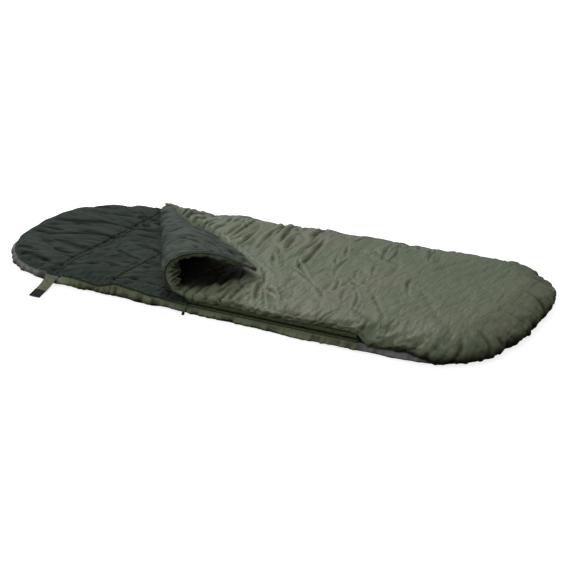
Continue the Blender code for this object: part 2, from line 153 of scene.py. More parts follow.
def nearest(tree, xy):
    """The tree's nearest point to each plan point: its index and its distance."""
    found = [tree.find((p[0], p[1], 0)) for p in xy]
    return np.array([f[1] for f in found]), np.array([f[2] for f in found])


def catmull(points, s):
    last = len(points) - 1
    place = np.clip(s, 0, 1) * last
    k = np.minimum(place.astype(int), last - 1)
    f = (place - k)[:, None]
    p = [points[np.clip(k + i, 0, last)] for i in (-1, 0, 1, 2)]
    return 0.5 * (2 * p[1] + (p[2] - p[0]) * f + (2 * p[0] - 5 * p[1] + 4 * p[2] - p[3]) * f ** 2
                  + (3 * p[1] - p[0] - 3 * p[2] + p[3]) * f ** 3)


def value_noise(x, y, seed):
    """Smooth noise from -1 to 1 on a unit lattice."""
    xi, yi = np.floor(x).astype(int), np.floor(y).astype(int)
    fx, fy = x - xi, y - yi
    fx, fy = fx * fx * (3 - 2 * fx), fy * fy * (3 - 2 * fy)

    def corner(i, j):
        n = (i * 374761393 + j * 668265263 + seed * 69069) & 0x7FFFFFFF
        n = ((n ^ (n >> 13)) * 1274126177) & 0x7FFFFFFF
        return ((n ^ (n >> 16)) & 0xFFFF) / 32767.5 - 1

    a, b = corner(xi, yi), corner(xi + 1, yi)
    c, d = corner(xi, yi + 1), corner(xi + 1, yi + 1)
    return (a * (1 - fx) + b * fx) * (1 - fy) + (c * (1 - fx) + d * fx) * fy


def line_noise(x, size, seed):
    return value_noise(x / size, x * 0, seed)


def fractal(x, y, seed):
    return sum(value_noise(x * 2 ** k, y * 2 ** k, seed + 17 * k) / 2 ** k for k in range(3)) / 1.6


def soft_folds(along, across, seed):
    """Long soft folds lying along the first coordinate: round ridges and narrower valleys."""
    across = across + 0.45 * value_noise(along * 1.3, across * 0.35, seed + 9)
    n = value_noise(along, across, seed)
    n = n + 0.5 * value_noise(along * 1.7 + 3.1, across * 2.1, seed + 5)
    return np.sqrt(n * n + 0.015) - 0.45


def creases(xy, marks):
    """Heights of stitched-in and pulled creases. Each mark is (x, y, angle, length, width,
    depth, skew): a narrow groove with a soft shoulder either side, or a tuck where skewed."""
    z = np.zeros(len(xy))
    for x, y, angle, length, width, depth, skew in marks:
        c, s = math.cos(angle), math.sin(angle)
        dx, dy = xy[:, 0] - x, xy[:, 1] - y
        near = np.nonzero(dx * dx + dy * dy < (length / 2 + 4 * width) ** 2)[0]
        dx, dy = dx[near], dy[near]
        along = (dx * c + dy * s) / (length / 2)
        bend = 0.10 * math.sin(x * 91 + y * 57) * length
        taper = np.clip(1 - along ** 2, 0, 1)
        across = (-dx * s + dy * c - bend * (along ** 2 - 0.4)) / (width * (0.45 + 0.75 * taper))
        groove = -np.exp(-np.abs(across) ** 1.4)
        shoulder = 0.42 * bell(np.abs(across) - 2.2, 1.2)
        tuck = skew * across * np.exp(-across ** 2 / 1.6)
        z[near] += depth * taper ** 1.3 * (groove + shoulder + tuck)
    return z


def crease(x, y, angle, turn, length, width, depth, skew=None, share=1.0):
    """A mark for creases(): its sizes are drawn from ranges, its angle and skew about means."""
    return (x, y, angle + RNG.normal(0, turn), RNG.uniform(*length), RNG.uniform(*width),
            RNG.uniform(*depth) * share, RNG.normal(*skew) if skew else 0.0)


# --- Outline ---
def signed_power(v, p):
    return np.sign(v) * np.abs(v) ** p


def outline(u, inset):
    """Points on the bag's outline; u runs round it from 0 to 4 as in the model."""
    u = np.asarray(u, float) % 4
    inset = np.broadcast_to(inset, u.shape)
    half = WIDTH / 2 - inset
    foot, head = math.pi * (u - 1.5), math.pi * (u - 2.5)
    x = np.select(
        [u < 1, u < 2, u < 3],
        [HEAD_X + (FOOT_X - HEAD_X) * u,
         FOOT_X + (FOOT_ROUND - inset) * np.abs(np.cos(foot)) ** (2 / FOOT_POWER),
         FOOT_X + (HEAD_X - FOOT_X) * (u - 2)],
        HEAD_X - (HEAD_ROUND - inset) * np.abs(np.cos(head)) ** (2 / HEAD_POWER))
    y = np.select(
        [u < 1, u < 2, u < 3],
        [-half, half * signed_power(np.sin(foot), 2 / FOOT_POWER), half],
        half * signed_power(np.sin(head), 2 / HEAD_POWER))
    return np.stack([x, y], -1)


def even_loop(inset, step):
    """Evenly spaced outline points and their inward normals."""
    dense = outline(np.linspace(0, 4, 24001)[:-1], inset)
    dense = dense[np.r_[True, norm(np.diff(dense, axis=0), axis=1) > 1e-7]]
    closed = np.vstack([dense, dense[:1]])
    run = distances(closed)
    count = int(round(run[-1] / step))
    at = np.arange(count) * run[-1] / count
    loop = plan(*(np.interp(at, run, closed[:, k]) for k in (0, 1)))
    tangent = unit(np.roll(loop, -1, axis=0) - np.roll(loop, 1, axis=0))
    return loop, plan(-tangent[:, 1], tangent[:, 0])


EDGE_STEP = 0.003
EDGE, EDGE_NORMAL = even_loop(0.0, EDGE_STEP)
EDGE_TREE = plan_tree(EDGE)


def edge_of(xy):
    """For each point: distance inside the outline (negative outside), the inward normal
    there, and the index of the nearest outline point."""
    index, _ = nearest(EDGE_TREE, xy)
    normal = EDGE_NORMAL[index]
    return ((xy - EDGE[index]) * normal).sum(1), normal, index


# --- Meshes ---
def triangulate(boundary, spacing_at, fine, coarse):
    """A triangle mesh inside a boundary loop, with finer points where asked."""
    low, high = boundary.min(0), boundary.max(0)
    made = [boundary]
    tree = plan_tree(boundary)
    for step, want_fine in ((fine, True), (coarse, False)):
        gx, gy = np.meshgrid(np.arange(low[0], high[0], step),
                             np.arange(low[1], high[1], step * 0.866))
        gx[1::2] += step / 2
        xy = plan(gx.ravel(), gy.ravel())
        xy += RNG.uniform(-0.22, 0.22, xy.shape) * step
        xy = xy[inside_polygon(xy, boundary)]
        near = nearest(tree, xy)[1]
        made.append(xy[(near > step * 0.6) & (spacing_at(xy) == want_fine)])
    count = len(boundary)
    edges = [(k, (k + 1) % count) for k in range(count)]
    verts, _, faces, _, _, _ = geometry.delaunay_2d_cdt(
        [Vector(p) for p in np.vstack(made)], edges, [], 1, 1e-7)
    return np.array([tuple(v) for v in verts]), np.array([tuple(f) for f in faces])


def inside_polygon(xy, loop):
    inside = np.zeros(len(xy), bool)
    a, b = loop, np.roll(loop, -1, axis=0)
    for (x1, y1), (x2, y2) in zip(a, b):
        if y1 == y2:
            continue
        cross = (y1 > xy[:, 1]) != (y2 > xy[:, 1])
        if cross.any():
            at = (x2 - x1) * (xy[cross, 1] - y1) / (y2 - y1) + x1
            inside[cross] ^= xy[cross, 0] < at
    return inside


def new_object(name, points, faces):
    """An object from bag-frame points, put in the shared frame."""
    mesh = bpy.data.meshes.new(name)
    points = np.asarray(points, float) + (0, CENTRE_Y, 0)
    mesh.from_pydata(points.tolist(), [], [tuple(int(i) for i in f) for f in faces])
    mesh.update()
    mesh.shade_smooth()
    obj = bpy.data.objects.new(name, mesh)
    bpy.context.scene.collection.objects.link(obj)
    return obj


def take_faces(name, points, faces, painted_shade=None):
    """An object of some of a mesh's faces, without the unused points."""
    faces = np.asarray(faces)
    used, packed = np.unique(faces, return_inverse=True)
    obj = new_object(name, points[used], packed.reshape(faces.shape))
    if painted_shade is not None:
        set_painted_shade(obj, painted_shade[used])
    return obj


def subdivided(points, faces, values):
    """One round of Loop subdivision; values are carried to the new points by averages."""
    sides = np.concatenate([faces[:, [0, 1]], faces[:, [1, 2]], faces[:, [2, 0]]])
    opposite = np.concatenate([faces[:, 2], faces[:, 0], faces[:, 1]])
    edges, index, uses = np.unique(np.sort(sides, axis=1), axis=0, return_inverse=True,
                                   return_counts=True)
    index = index.ravel()
    ends = points[edges].sum(1)
    facing = np.zeros((len(edges), 3))
    np.add.at(facing, index, points[opposite])
    open_edge = (uses == 1)[:, None]
    middle = np.where(open_edge, ends / 2, ends * 0.375 + facing * 0.125)
    count = np.zeros(len(points))
    around = np.zeros_like(points)
    for i, j in ((0, 1), (1, 0)):
        np.add.at(count, edges[:, i], 1)
        np.add.at(around, edges[:, i], points[edges[:, j]])
    share = np.where(count == 3, 3 / 16, 3 / (8 * np.maximum(count, 3)))[:, None]
    moved = points * (1 - count[:, None] * share) + around * share
    rim = edges[uses == 1]
    if len(rim):
        beside = np.zeros_like(points)
        for i, j in ((0, 1), (1, 0)):
            np.add.at(beside, rim[:, i], points[rim[:, j]])
        on_rim = np.unique(rim)
        moved[on_rim] = points[on_rim] * 0.75 + beside[on_rim] * 0.125
    k = index.reshape(3, -1).T + len(points)
    corners = [plan(faces[:, i], k[:, i], k[:, j]) for i, j in ((0, 2), (1, 0), (2, 1))]
    split = np.concatenate([*corners, k])
    return np.vstack([moved, middle]), split, np.vstack([values, values[edges].mean(1)])


def point_normals(points, faces):
    a, b, c = (points[faces[:, i]] for i in range(3))
    face = np.cross(b - a, c - a)
    total = np.zeros_like(points)
    for i in range(3):
        np.add.at(total, faces[:, i], face)
    return total / np.maximum(norm(total, axis=1), 1e-12)[:, None]


def set_painted_shade(obj, values):
    """Stores the painted shade of each point, darker in folds, hollows and shadowed places, for the
    materials to darken the colour.
    """
    obj.data.attributes.new("painted_shade", "FLOAT", "POINT").data.foreach_set(
        "value", np.ascontiguousarray(values, np.float32))


def face_outwards(obj):
    shape = bmesh.new()
    shape.from_mesh(obj.data)
    bmesh.ops.recalc_face_normals(shape, faces=shape.faces)
    shape.to_mesh(obj.data)
    shape.free()


def tube_faces(first, count, around):
    """The faces of a closed tube of rings whose points are numbered from first."""
    faces = []
    for r in range(first, first + (count - 1) * around, around):
        for i in range(around):
            j = (i + 1) % around
            faces.append((r + i, r + j, r + around + j, r + around + i))
    start = tuple(range(first, first + around))
    return faces + [start[::-1], tuple(i + (count - 1) * around for i in start)]


def sweep(name, rings):
    """A closed tube through rings of points, with UVs: x along in metres, y round."""
    rings = np.asarray(rings, float)
    count, around = rings.shape[:2]
    run = distances(rings.mean(1))
    uvs = []
    for r in range(count - 1):
        for i in range(around):
            v0, v1 = i / around, (i + 1) / around
            uvs += [(run[r], v0), (run[r], v1), (run[r + 1], v1), (run[r + 1], v0)]
    uvs += [(0, 0)] * around + [(run[-1], 0)] * around
    obj = new_object(name, rings.reshape(-1, 3), tube_faces(0, count, around))
    layer = obj.data.uv_layers.new(name="UVMap")
    layer.data.foreach_set("uv", np.array(uvs, np.float32).ravel())
    face_outwards(obj)
    return obj


# --- Materials ---
class Nodes:
    def __init__(self, name):
        self.material = bpy.data.materials.new(name)
        self.material.use_nodes = True
        self.tree = self.material.node_tree
        self.shader = self.tree.nodes["Principled BSDF"]
        self.coords = self.tree.nodes.new("ShaderNodeTexCoord").outputs["Object"]

    def add(self, kind, settings=None, **inputs):
        node = self.tree.nodes.new(kind)
        for key, value in (settings or {}).items():
            setattr(node, key, value)
        for key, value in inputs.items():
            socket = node.inputs[int(key[1:])] if key[0] == "i" and key[1:].isdigit() \
                else node.inputs[key.replace("_", " ")]
            if isinstance(value, bpy.types.NodeSocket):
                self.tree.links.new(value, socket)
            else:
                socket.default_value = value
        return node

    def noise(self, scale, detail=3.0, vector=None, roughness=0.5):
        return self.add("ShaderNodeTexNoise", Vector=vector or self.coords, Scale=scale,
                        Detail=detail, Roughness=roughness).outputs["Fac"]

    def ramp(self, value, *stops):
        node = self.add("ShaderNodeValToRGB", Fac=value)
        ramp = node.color_ramp
        ramp.elements[0].position, ramp.elements[0].color = stops[0][0], (*stops[0][1], 1)
        ramp.elements[1].position, ramp.elements[1].color = stops[-1][0], (*stops[-1][1], 1)
        for place, colour in stops[1:-1]:
            ramp.elements.new(place).color = (*colour, 1)
        return node.outputs["Color"]

    def math(self, operation, a, b=0.0):
        return self.add("ShaderNodeMath", {"operation": operation}, i0=a, i1=b).outputs[0]

    def scaled(self, scale):
        return self.add("ShaderNodeMapping", Vector=self.coords, Scale=scale).outputs[0]

    def mapped(self, value, low, high):
        return self.add("ShaderNodeMapRange", Value=value, To_Min=low, To_Max=high).outputs[0]

    def bump(self, height, distance, strength=1.0, normal=None):
        node = self.add("ShaderNodeBump", Height=height, Distance=distance, Strength=strength)
        if normal is not None:
            self.tree.links.new(normal, node.inputs["Normal"])
        return node.outputs["Normal"]

    def with_painted_shade(self, colour, middle):
        """The colour with painted shade: deeper and browner in the folds, hollows and shadowed
        places, from the shade stored on the mesh.
        """
        painted_shade = self.add("ShaderNodeAttribute", {"attribute_name": "painted_shade"}).outputs["Fac"]
        # Painted shade: a ramp from the plain colour through a browner mid shade to near black.
        tint = self.ramp(self.math("MULTIPLY", painted_shade, 0.625), (0.0, (1, 1, 1)), (0.35, middle),
                         (0.75, (0.13, 0.13, 0.12)), (1.0, (0.020, 0.020, 0.018)))
        return self.add("ShaderNodeVectorMath", {"operation": "MULTIPLY"}, i0=colour,
                        i1=tint).outputs[0]

    def shaded(self, base, shade, middle):
        """The base colour with a fine random tonal drift, and painted shade, deeper in the folds."""
        colour = self.add("ShaderNodeVectorMath", {"operation": "SCALE"}, Vector=base, Scale=shade)
        return self.with_painted_shade(colour.outputs[0], middle)

    def waves(self, vector, axis, pitch):
        value = self.add("ShaderNodeSeparateXYZ", Vector=vector).outputs[axis]
        return self.math("SINE", self.math("MULTIPLY", value, 2 * math.pi / pitch))

    def set(self, **values):
        for name, value in values.items():
            self.shader.inputs[name.replace("_", " ")].default_value = value

    def finished(self, colour, roughness, normal):
        for name, socket in (("Base Color", colour), ("Roughness", roughness), ("Normal", normal)):
            self.tree.links.new(socket, self.shader.inputs[name])
        return self.material


WEAVE = 0.0011               # pitch of the shell's threads


def shell_material(name, dark, light, brown, roughness=0.48, crinkle=1.0):
    """Thin satin nylon: tonal drift, fine crinkles and a close weave."""
    n = Nodes(name)
    n.set(Specular_IOR_Level=0.24, Sheen_Weight=0.02, Sheen_Roughness=0.4)
    base = n.ramp(n.noise(3.2, 4), (0.30, dark), (0.52, light), (0.75, brown))
    # Painted shade: the colour turns darker and browner in the mesh's folds and shaded hollows.
    colour = n.shaded(base, n.mapped(n.noise(38, 3), 0.90, 1.10), (0.60, 0.54, 0.49))
    soft = n.bump(n.noise(16, 4, n.scaled((1.9, 0.8, 1.0)), 0.55), 0.010 * crinkle, 0.8)
    # Thin crinkle lines lie where a broad noise crosses its middle.
    line = n.math("ABSOLUTE", n.math("SUBTRACT", n.noise(9, 2, n.scaled((2.3, 0.8, 1.0))), 0.5))
    line = n.math("MINIMUM", n.math("MULTIPLY", line, 9.0), 1.0)
    pinched = n.bump(line, 0.0022 * crinkle, 0.8, soft)
    fine = n.bump(n.noise(75, 3, n.scaled((1.6, 0.9, 1.0))), 0.0018 * crinkle, 0.7, pinched)
    threads = n.math("MULTIPLY", n.waves(n.coords, 0, WEAVE), n.waves(n.coords, 1, WEAVE))
    return n.finished(colour, n.mapped(n.noise(14, 3), roughness - 0.07, roughness + 0.10),
                      n.bump(threads, 0.00010, 0.5, fine))


def fleece_material(name, dark, light):
    """Brushed polyester: short pile, so a soft sheen and a fuzzy fine bump."""
    n = Nodes(name)
    n.set(Specular_IOR_Level=0.07, Sheen_Weight=0.02, Sheen_Roughness=0.5)
    base = n.ramp(n.noise(5, 5, None, 0.6), (0.3, dark), (0.7, light))
    # Painted shade: the colour darkens in the mesh's folds and shaded hollows.
    colour = n.shaded(base, n.mapped(n.noise(420, 2), 0.80, 1.22), (0.42, 0.45, 0.44))
    soft = n.bump(n.noise(20, 3, n.scaled((0.9, 1.5, 1.0))), 0.008, 0.7)
    return n.finished(colour, n.mapped(n.noise(30, 3), 0.66, 0.86),
                      n.bump(n.noise(260, 3), 0.0009, 0.7, soft))


def webbing_material(name, dark, light, pitch=0.0016):
    """Woven tape or cord: ribs one way, lower picks the other."""
    n = Nodes(name)
    n.set(Specular_IOR_Level=0.25)
    picks = n.waves(n.coords, 1, pitch * 0.8)
    height = n.math("ADD", n.waves(n.coords, 0, pitch), n.math("MULTIPLY", picks, 0.6))
    tint = n.math("ADD", n.noise(60, 4), n.math("MULTIPLY", height, 0.06))
    return n.finished(n.ramp(tint, (0.35, dark), (0.65, light)),
                      n.mapped(n.noise(90, 2), 0.70, 0.90), n.bump(height, 0.00035, 0.8))


def pile_material(name, dark, light):
    n = Nodes(name)
    n.set(Specular_IOR_Level=0.2)
    return n.finished(n.ramp(n.noise(700, 2), (0.35, dark), (0.7, light)),
                      n.mapped(n.noise(500, 2), 0.80, 1.0), n.bump(n.noise(900, 2), 0.0008, 0.9))


def coil_material(name, dark, light):
    n = Nodes(name)
    teeth = n.waves(n.add("ShaderNodeTexCoord").outputs["UV"], 0, 0.0021)
    return n.finished(n.ramp(n.mapped(teeth, 0.2, 0.8), (0.2, dark), (0.8, light)),
                      n.mapped(n.noise(120, 2), 0.35, 0.55), n.bump(teeth, 0.0007, 0.9))


def metal_material(name, dark, light):
    n = Nodes(name)
    n.set(Metallic=0.85)
    return n.finished(n.ramp(n.noise(260, 3), (0.35, dark), (0.7, light)),
                      n.mapped(n.noise(180, 3), 0.28, 0.50), n.bump(n.noise(400, 2), 0.0001, 0.5))


LOOKS = {
    "shell": shell_material("shell_olive", (0.090, 0.115, 0.064), (0.108, 0.132, 0.080),
                            (0.126, 0.132, 0.088)),
    "band": shell_material("band_olive", (0.075, 0.095, 0.050), (0.135, 0.162, 0.092),
                           (0.160, 0.178, 0.108), 0.30, 1.3),
    "grey": shell_material("base_grey", (0.120, 0.118, 0.128), (0.165, 0.162, 0.172),
                           (0.200, 0.194, 0.202), 0.60),
    "fleece": fleece_material("lining_slate", (0.044, 0.056, 0.047), (0.070, 0.087, 0.074)),
    # A darker copy of the lining for the base's lining: painted shade, standing in for the dimmer
    # light that reaches it.
    "fleece_painted_dark": fleece_material("lining_slate_painted_dark", (0.0165, 0.0245, 0.0200),
                                   (0.033, 0.044, 0.0365)),
    "tape": webbing_material("zip_tape", (0.058, 0.076, 0.032), (0.105, 0.132, 0.058), 0.0010),
    "coil": coil_material("zip_coil", (0.010, 0.013, 0.007), (0.035, 0.042, 0.024)),
    # A darker copy of the piping for the cord along the closed zip: painted shade where it lies in
    # the shadow above the band.
    "cord": webbing_material("seam_cord_painted_dark", (0.022, 0.028, 0.010), (0.060, 0.060, 0.018), 0.0009),
    "piping": webbing_material("piping", (0.130, 0.085, 0.028), (0.250, 0.165, 0.050), 0.0009),
    "webbing": webbing_material("webbing", (0.090, 0.104, 0.062), (0.130, 0.145, 0.090)),
    "binding": webbing_material("binding_olive", (0.085, 0.105, 0.055), (0.140, 0.165, 0.095),
                                0.0012),
    "hook": pile_material("hook_tape", (0.004, 0.004, 0.005), (0.016, 0.016, 0.018)),
    "metal": metal_material("slider_metal", (0.030, 0.031, 0.026), (0.075, 0.077, 0.066)),
    "thread": webbing_material("thread", (0.030, 0.036, 0.022), (0.062, 0.070, 0.046), 0.0006),
    "rubber": pile_material("rubber", (0.006, 0.006, 0.006), (0.018, 0.018, 0.018)),
}


def wear(obj, look):
    obj.data.materials.clear()
    obj.data.materials.append(LOOKS[look])


def finish_piece(obj, look, slot, body, *nodes):
    """Gives a piece its look and the body it rides. Body "fold" is the folded
    corner, whose cloth runs from the bag on to the flap."""
    wear(obj, look)
    if body == "fold":
        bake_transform(obj)
    else:
        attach(obj, body)
    if nodes:
        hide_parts(*nodes)
    return obj


def hinge_span():
    """Where the folded cloth starts and ends its bend about the flap's hinge."""
    joint = next(j for j in frame["joints"] if j["name"] == "flap_lift")
    axis, at = np.array(joint["axis"]), np.array(joint["pos_m"])
    side = np.array([FOLD_SIDE[0], FOLD_SIDE[1], 1.0])
    side = side - axis * (side @ axis)
    side /= norm(side)
    return at - side * 0.025, at + side * 0.035


HINGE_START, HINGE_END = hinge_span()


# --- Cloth ---
CLOTH_FRAMES = 14
CLOTH_STEP = 0.0085          # side of the cloth's triangles where it shows
CLOTH_SETTINGS = {
    "quality": 5, "mass": 0.25, "tension_stiffness": 25, "compression_stiffness": 25,
    "shear_stiffness": 8, "bending_stiffness": 0.3, "tension_damping": 8,
    "compression_damping": 8, "shear_damping": 8, "air_damping": 3, "pin_stiffness": 1.0,
}


def buckle(obj, hold, grow, pressure):
    """Where the object's points are once it has grown and puffed up as padded cloth."""
    group = obj.vertex_groups.new(name="hold")
    for value in np.unique(np.round(hold, 2)):
        members = np.nonzero(np.round(hold, 2) == value)[0].tolist()
        group.add(members, float(value), "REPLACE")
    cloth = obj.modifiers.new("Cloth", "CLOTH")
    for key, value in CLOTH_SETTINGS.items():
        setattr(cloth.settings, key, value)
    cloth.settings.vertex_group_mass = "hold"
    cloth.settings.shrink_min = -grow
    cloth.settings.use_pressure = True
    cloth.settings.uniform_pressure_force = pressure
    cloth.settings.effector_weights.gravity = 0.0
    cloth.collision_settings.use_collision = False
    cloth.collision_settings.use_self_collision = False
    cloth.point_cache.frame_start = 1
    cloth.point_cache.frame_end = CLOTH_FRAMES
    scene = bpy.context.scene
    for number in range(CLOTH_FRAMES + 1):
        scene.frame_set(number)
    evaluated = obj.evaluated_get(bpy.context.evaluated_depsgraph_get())
    after = np.zeros(len(obj.data.vertices) * 3)
    evaluated.data.vertices.foreach_get("co", after)
    obj.modifiers.remove(cloth)
    scene.frame_set(1)
    return after.reshape(-1, 3)


def relaxed(points, faces, hold, grow, pressure, cap):
    """Bag-frame points of a mesh left to buckle. hold is how firmly each point stays put,
    cap the most that it moves."""
    obj = new_object("cloth", points, faces)
    before = np.array([v.co for v in obj.data.vertices])
    after = buckle(obj, hold, grow, pressure)
    bpy.data.objects.remove(obj)
    size = norm(after - before, axis=1)
    keep = np.where(size > 1e-9, cap * np.tanh(size / cap) / np.maximum(size, 1e-9), 1)
    return before + (after - before) * keep[:, None] - (0, CENTRE_Y, 0)


# --- The base's rim ---
# Height of the open rim along the near side, where the unzipped edge lies loose.
LOOSE_RIM = np.array([(-0.80, 0.030), (-0.71, 0.033), (-0.634, 0.037), (-0.56, 0.042),
                      (-0.47, 0.031), (-0.38, 0.049), (-0.30, 0.043), (-0.22, 0.038),
                      (-0.13, 0.0305), (-0.069, RIM_Z), (0.9, RIM_Z)])


def rim_height(x):
    """Height of the near rim: a smooth line through LOOSE_RIM."""
    k = np.clip(np.searchsorted(LOOSE_RIM[:, 0], x) - 1, 0, len(LOOSE_RIM) - 2)
    f = ease(0, 1, (x - LOOSE_RIM[k, 0]) / (LOOSE_RIM[k + 1, 0] - LOOSE_RIM[k, 0]))
    return LOOSE_RIM[k, 1] * (1 - f) + LOOSE_RIM[k + 1, 1] * f


def tab_notch(x):
    """1 where the tab's strap crosses the rim, 0 away from it."""
    return ease(0.046, 0.028, np.abs(x - TAB_PATH[0, 0]))


def under_tab(points):
    """The lining pressed down clear of the tab, both lying out and folded back over it."""
    x, y, z = points.T
    root = TAB_PATH[0]
    clear = root[2] - 0.0022 + 0.60 * np.maximum(y - root[1], 0)
    clear = clear - 0.24 * np.maximum(root[1] - y, 0)
    pressed = tab_notch(x) * (y < -0.30)
    return plan(x, y, z - pressed * np.maximum(z - clear, 0))


def rim_wave(xy):
    """How far the rim stands out and up from its place in the model."""
    x, near = xy[:, 0], ease(-0.20, -0.36, xy[:, 1])
    loose = (1 - ease(-0.20, -0.09, x)) * ease(-0.80, -0.62, x)
    out = 0.0045 * np.sin((x + 0.60) * 21.0) + 0.0016 * np.sin(x * 57 + 2.0)
    around = np.arctan2(xy[:, 1], xy[:, 0] + 0.5)
    ripple = 0.0008 * np.sin(around * 23) + 0.0006 * np.sin(around * 41 + 1.3)
    head = ease(-0.60, -0.72, x)
    far = ease(-0.05, 0.25, xy[:, 1]) * ease(-0.30, -0.62, x)
    turn = np.abs((around - 2.95 + math.pi) % (2 * math.pi) - math.pi)
    puffed = bell(turn, 0.42) * ease(-0.70, -0.85, x)
    up = near * (rim_height(x) - RIM_Z) + ripple * head + 0.0040 * head * (1 - near) + 0.010 * far
    up = up + 0.0120 * puffed - 0.0118 * near * tab_notch(x)
    low = bell(around + 2.35, 0.30) * ease(-0.62, -0.72, x)
    return near * loose * out + head * ripple + 0.004 * puffed + 0.006 * low, up


# --- Base ---
STRIP_HALF = 0.0135          # half of the seam's cover strip
# Lines of quilting across the base, and how deep each pulls the lining down.
QUILT_LINES = ((SEAM_X - STRIP_HALF, 0.0050), (SEAM_X + STRIP_HALF, 0.0075),
               (SEAM_X + QUILT_PITCH, 0.0100), (SEAM_X + 2 * QUILT_PITCH, 0.0100))


def line_sway(line, y):
    return line + 0.0030 * np.sin(y * 19 + line * 50) + 0.0014 * np.sin(y * 53 + line * 9)


def from_line(line, xy):
    return np.abs(xy[:, 0] - line_sway(line, xy[:, 1]))


def base_top(xy):
    """Height of the base's lining."""
    inside = edge_of(xy)[0]
    rise = 1 - np.exp(-np.maximum(inside, 0) / 0.034)
    room = ease(0.0, 0.05, inside) * (1 - ease(0.0, 0.25, xy[:, 0]))
    puff = 0.0050 * room
    for line, depth in QUILT_LINES:
        across = from_line(line, xy)
        puff = puff - depth * (0.45 * bell(across, 0.0055) + 0.55 * np.exp(-across / 0.022)) * room
    far = ease(0.0, 0.25, xy[:, 1])
    up = rim_wave(xy)[1] * np.exp(-np.maximum(inside, 0) / (0.035 + 0.08 * far))
    return RIM_Z + 0.0008 + 0.0170 * rise + puff + up


def base_creases():
    marks = []
    # Head panel: long soft folds fanning out from the middle of the seam.
    for k in range(40):
        y = -0.37 + 0.74 * (k + RNG.uniform(-0.3, 0.3)) / 39
        marks.append(crease(RNG.uniform(-0.98, -0.78), y, math.atan2(y * 0.55 + 0.06, 1.0), 0.13,
                            (0.14, 0.34), (0.007, 0.014), (0.0022, 0.0058), (0, 0.5)))
    # Body panels: folds running from seam to seam.
    for _ in range(64):
        marks.append(crease(RNG.uniform(-0.66, 0.02), RNG.uniform(-0.38, 0.36), 0.12, 0.30,
                            (0.08, 0.24), (0.006, 0.012), (0.0016, 0.0046), (0, 0.6)))
    # Puckers square to the quilting.
    for line, _ in QUILT_LINES:
        for y in np.arange(-0.38, 0.38, 0.016):
            marks.append(crease(line + RNG.uniform(-0.016, 0.016), y + RNG.uniform(-0.006, 0.006),
                                0.10, 0.35, (0.03, 0.09), (0.0035, 0.0065), (0.0008, 0.0024)))
    # Puckers square to the rim.
    for p, nrm in zip(EDGE[::8], EDGE_NORMAL[::8]):
        if p[0] <= 0.05:
            x, y = p + nrm * RNG.uniform(0.015, 0.045)
            share = 0.35 if p[0] < SEAM_X and p[1] > -0.2 else 1.0
            marks.append(crease(x, y, math.atan2(nrm[1], nrm[0]), 0.30, (0.04, 0.11),
                                (0.0045, 0.0085), (0.0010, 0.0030), None, share))
    return marks


def build_base():
    boundary, _ = even_loop(inset=0.0045, step=0.009)
    xy, faces = triangulate(boundary, lambda p: p[:, 0] < 0.10, CLOTH_STEP, 0.03)
    inside, normal, _ = edge_of(xy)
    out = rim_wave(xy)[0] * np.exp(-np.maximum(inside, 0) / 0.03)
    points = np.column_stack([xy - normal * out[:, None], base_top(xy)])
    hold = np.full(len(points), 0.05)
    hold[inside < 0.007] = 1.0
    for line, _ in QUILT_LINES:
        hold[from_line(line, xy) < 0.006] = 0.8
    hold[xy[:, 0] > 0.12] = 1.0
    points = relaxed(points, faces, hold, grow=0.045, pressure=1.2, cap=0.009)
    points, faces, flat = subdivided(points, faces, xy)
    inside = edge_of(flat)[0]
    x, y = flat[:, 0], flat[:, 1]
    fan, reach = np.arctan2(y - 0.01, 0.15 - x), np.hypot(0.15 - x, y)
    head = soft_folds(reach / 0.20, fan / 0.036, 61)
    body = soft_folds((0.80 * x + 0.60 * y) / 0.13, (0.80 * y - 0.60 * x) / 0.034, 62)
    is_head = ease(SEAM_X + 0.01, SEAM_X - 0.01, x)
    grooves = 0.0080 * (head * is_head + 0.85 * body * (1 - is_head)) * ease(0.0, 0.06, inside)
    grooves = grooves + creases(flat, base_creases())
    grooves = grooves * (1 - ease(0.0, 0.2, x)) * ease(
        0.003, np.where((x < SEAM_X) & (y > -0.1), 0.075, 0.030), inside)
    points[:, 2] += grooves
    points = under_tab(points)
    # Painted shade: darker in the lining's grooves and along the quilting lines.
    painted_shade = np.clip((-grooves - 0.0004) / 0.0036, 0, 1) * 0.95
    for line, _ in QUILT_LINES:
        painted_shade = np.maximum(painted_shade, bell(from_line(line, flat), 0.004))
    middle = flat[faces][:, :, 0].mean(1)
    made = []
    for name, node, part in (
        ("fleece_head", "base_lining_head", middle < SEAM_X - STRIP_HALF),
        ("fleece_seam", "lining_seam_strip", np.abs(middle - SEAM_X) <= STRIP_HALF),
        ("fleece_body", "base_lining_body", middle > SEAM_X + STRIP_HALF),
    ):
        piece = take_faces(name, points, faces[part], painted_shade)
        # The base's lining wears the darker copy of the lining: painted shade.
        made.append(finish_piece(piece, "fleece_painted_dark", "lining_slate", "bag", node))
    return made


# The side wall from its rim to the ground: inset, share of the height, freedom to pucker, drop.
WALL = ((0.0100, 1.00, 0.0, -0.004), (0.0048, 1.00, 0.0, 0.0002), (0.0020, 0.97, 0.25, 0.0),
        (-0.0018, 0.86, 0.7, 0.0), (-0.0045, 0.68, 1.0, 0.0), (-0.0050, 0.48, 1.1, 0.0),
        (-0.0035, 0.30, 1.0, 0.0), (0.0000, 0.14, 0.7, 0.0), (0.0050, 0.035, 0.4, 0.0),
        (0.0120, 0.006, 0.15, 0.0), (0.0320, 0.0, 0.0, 0.0))


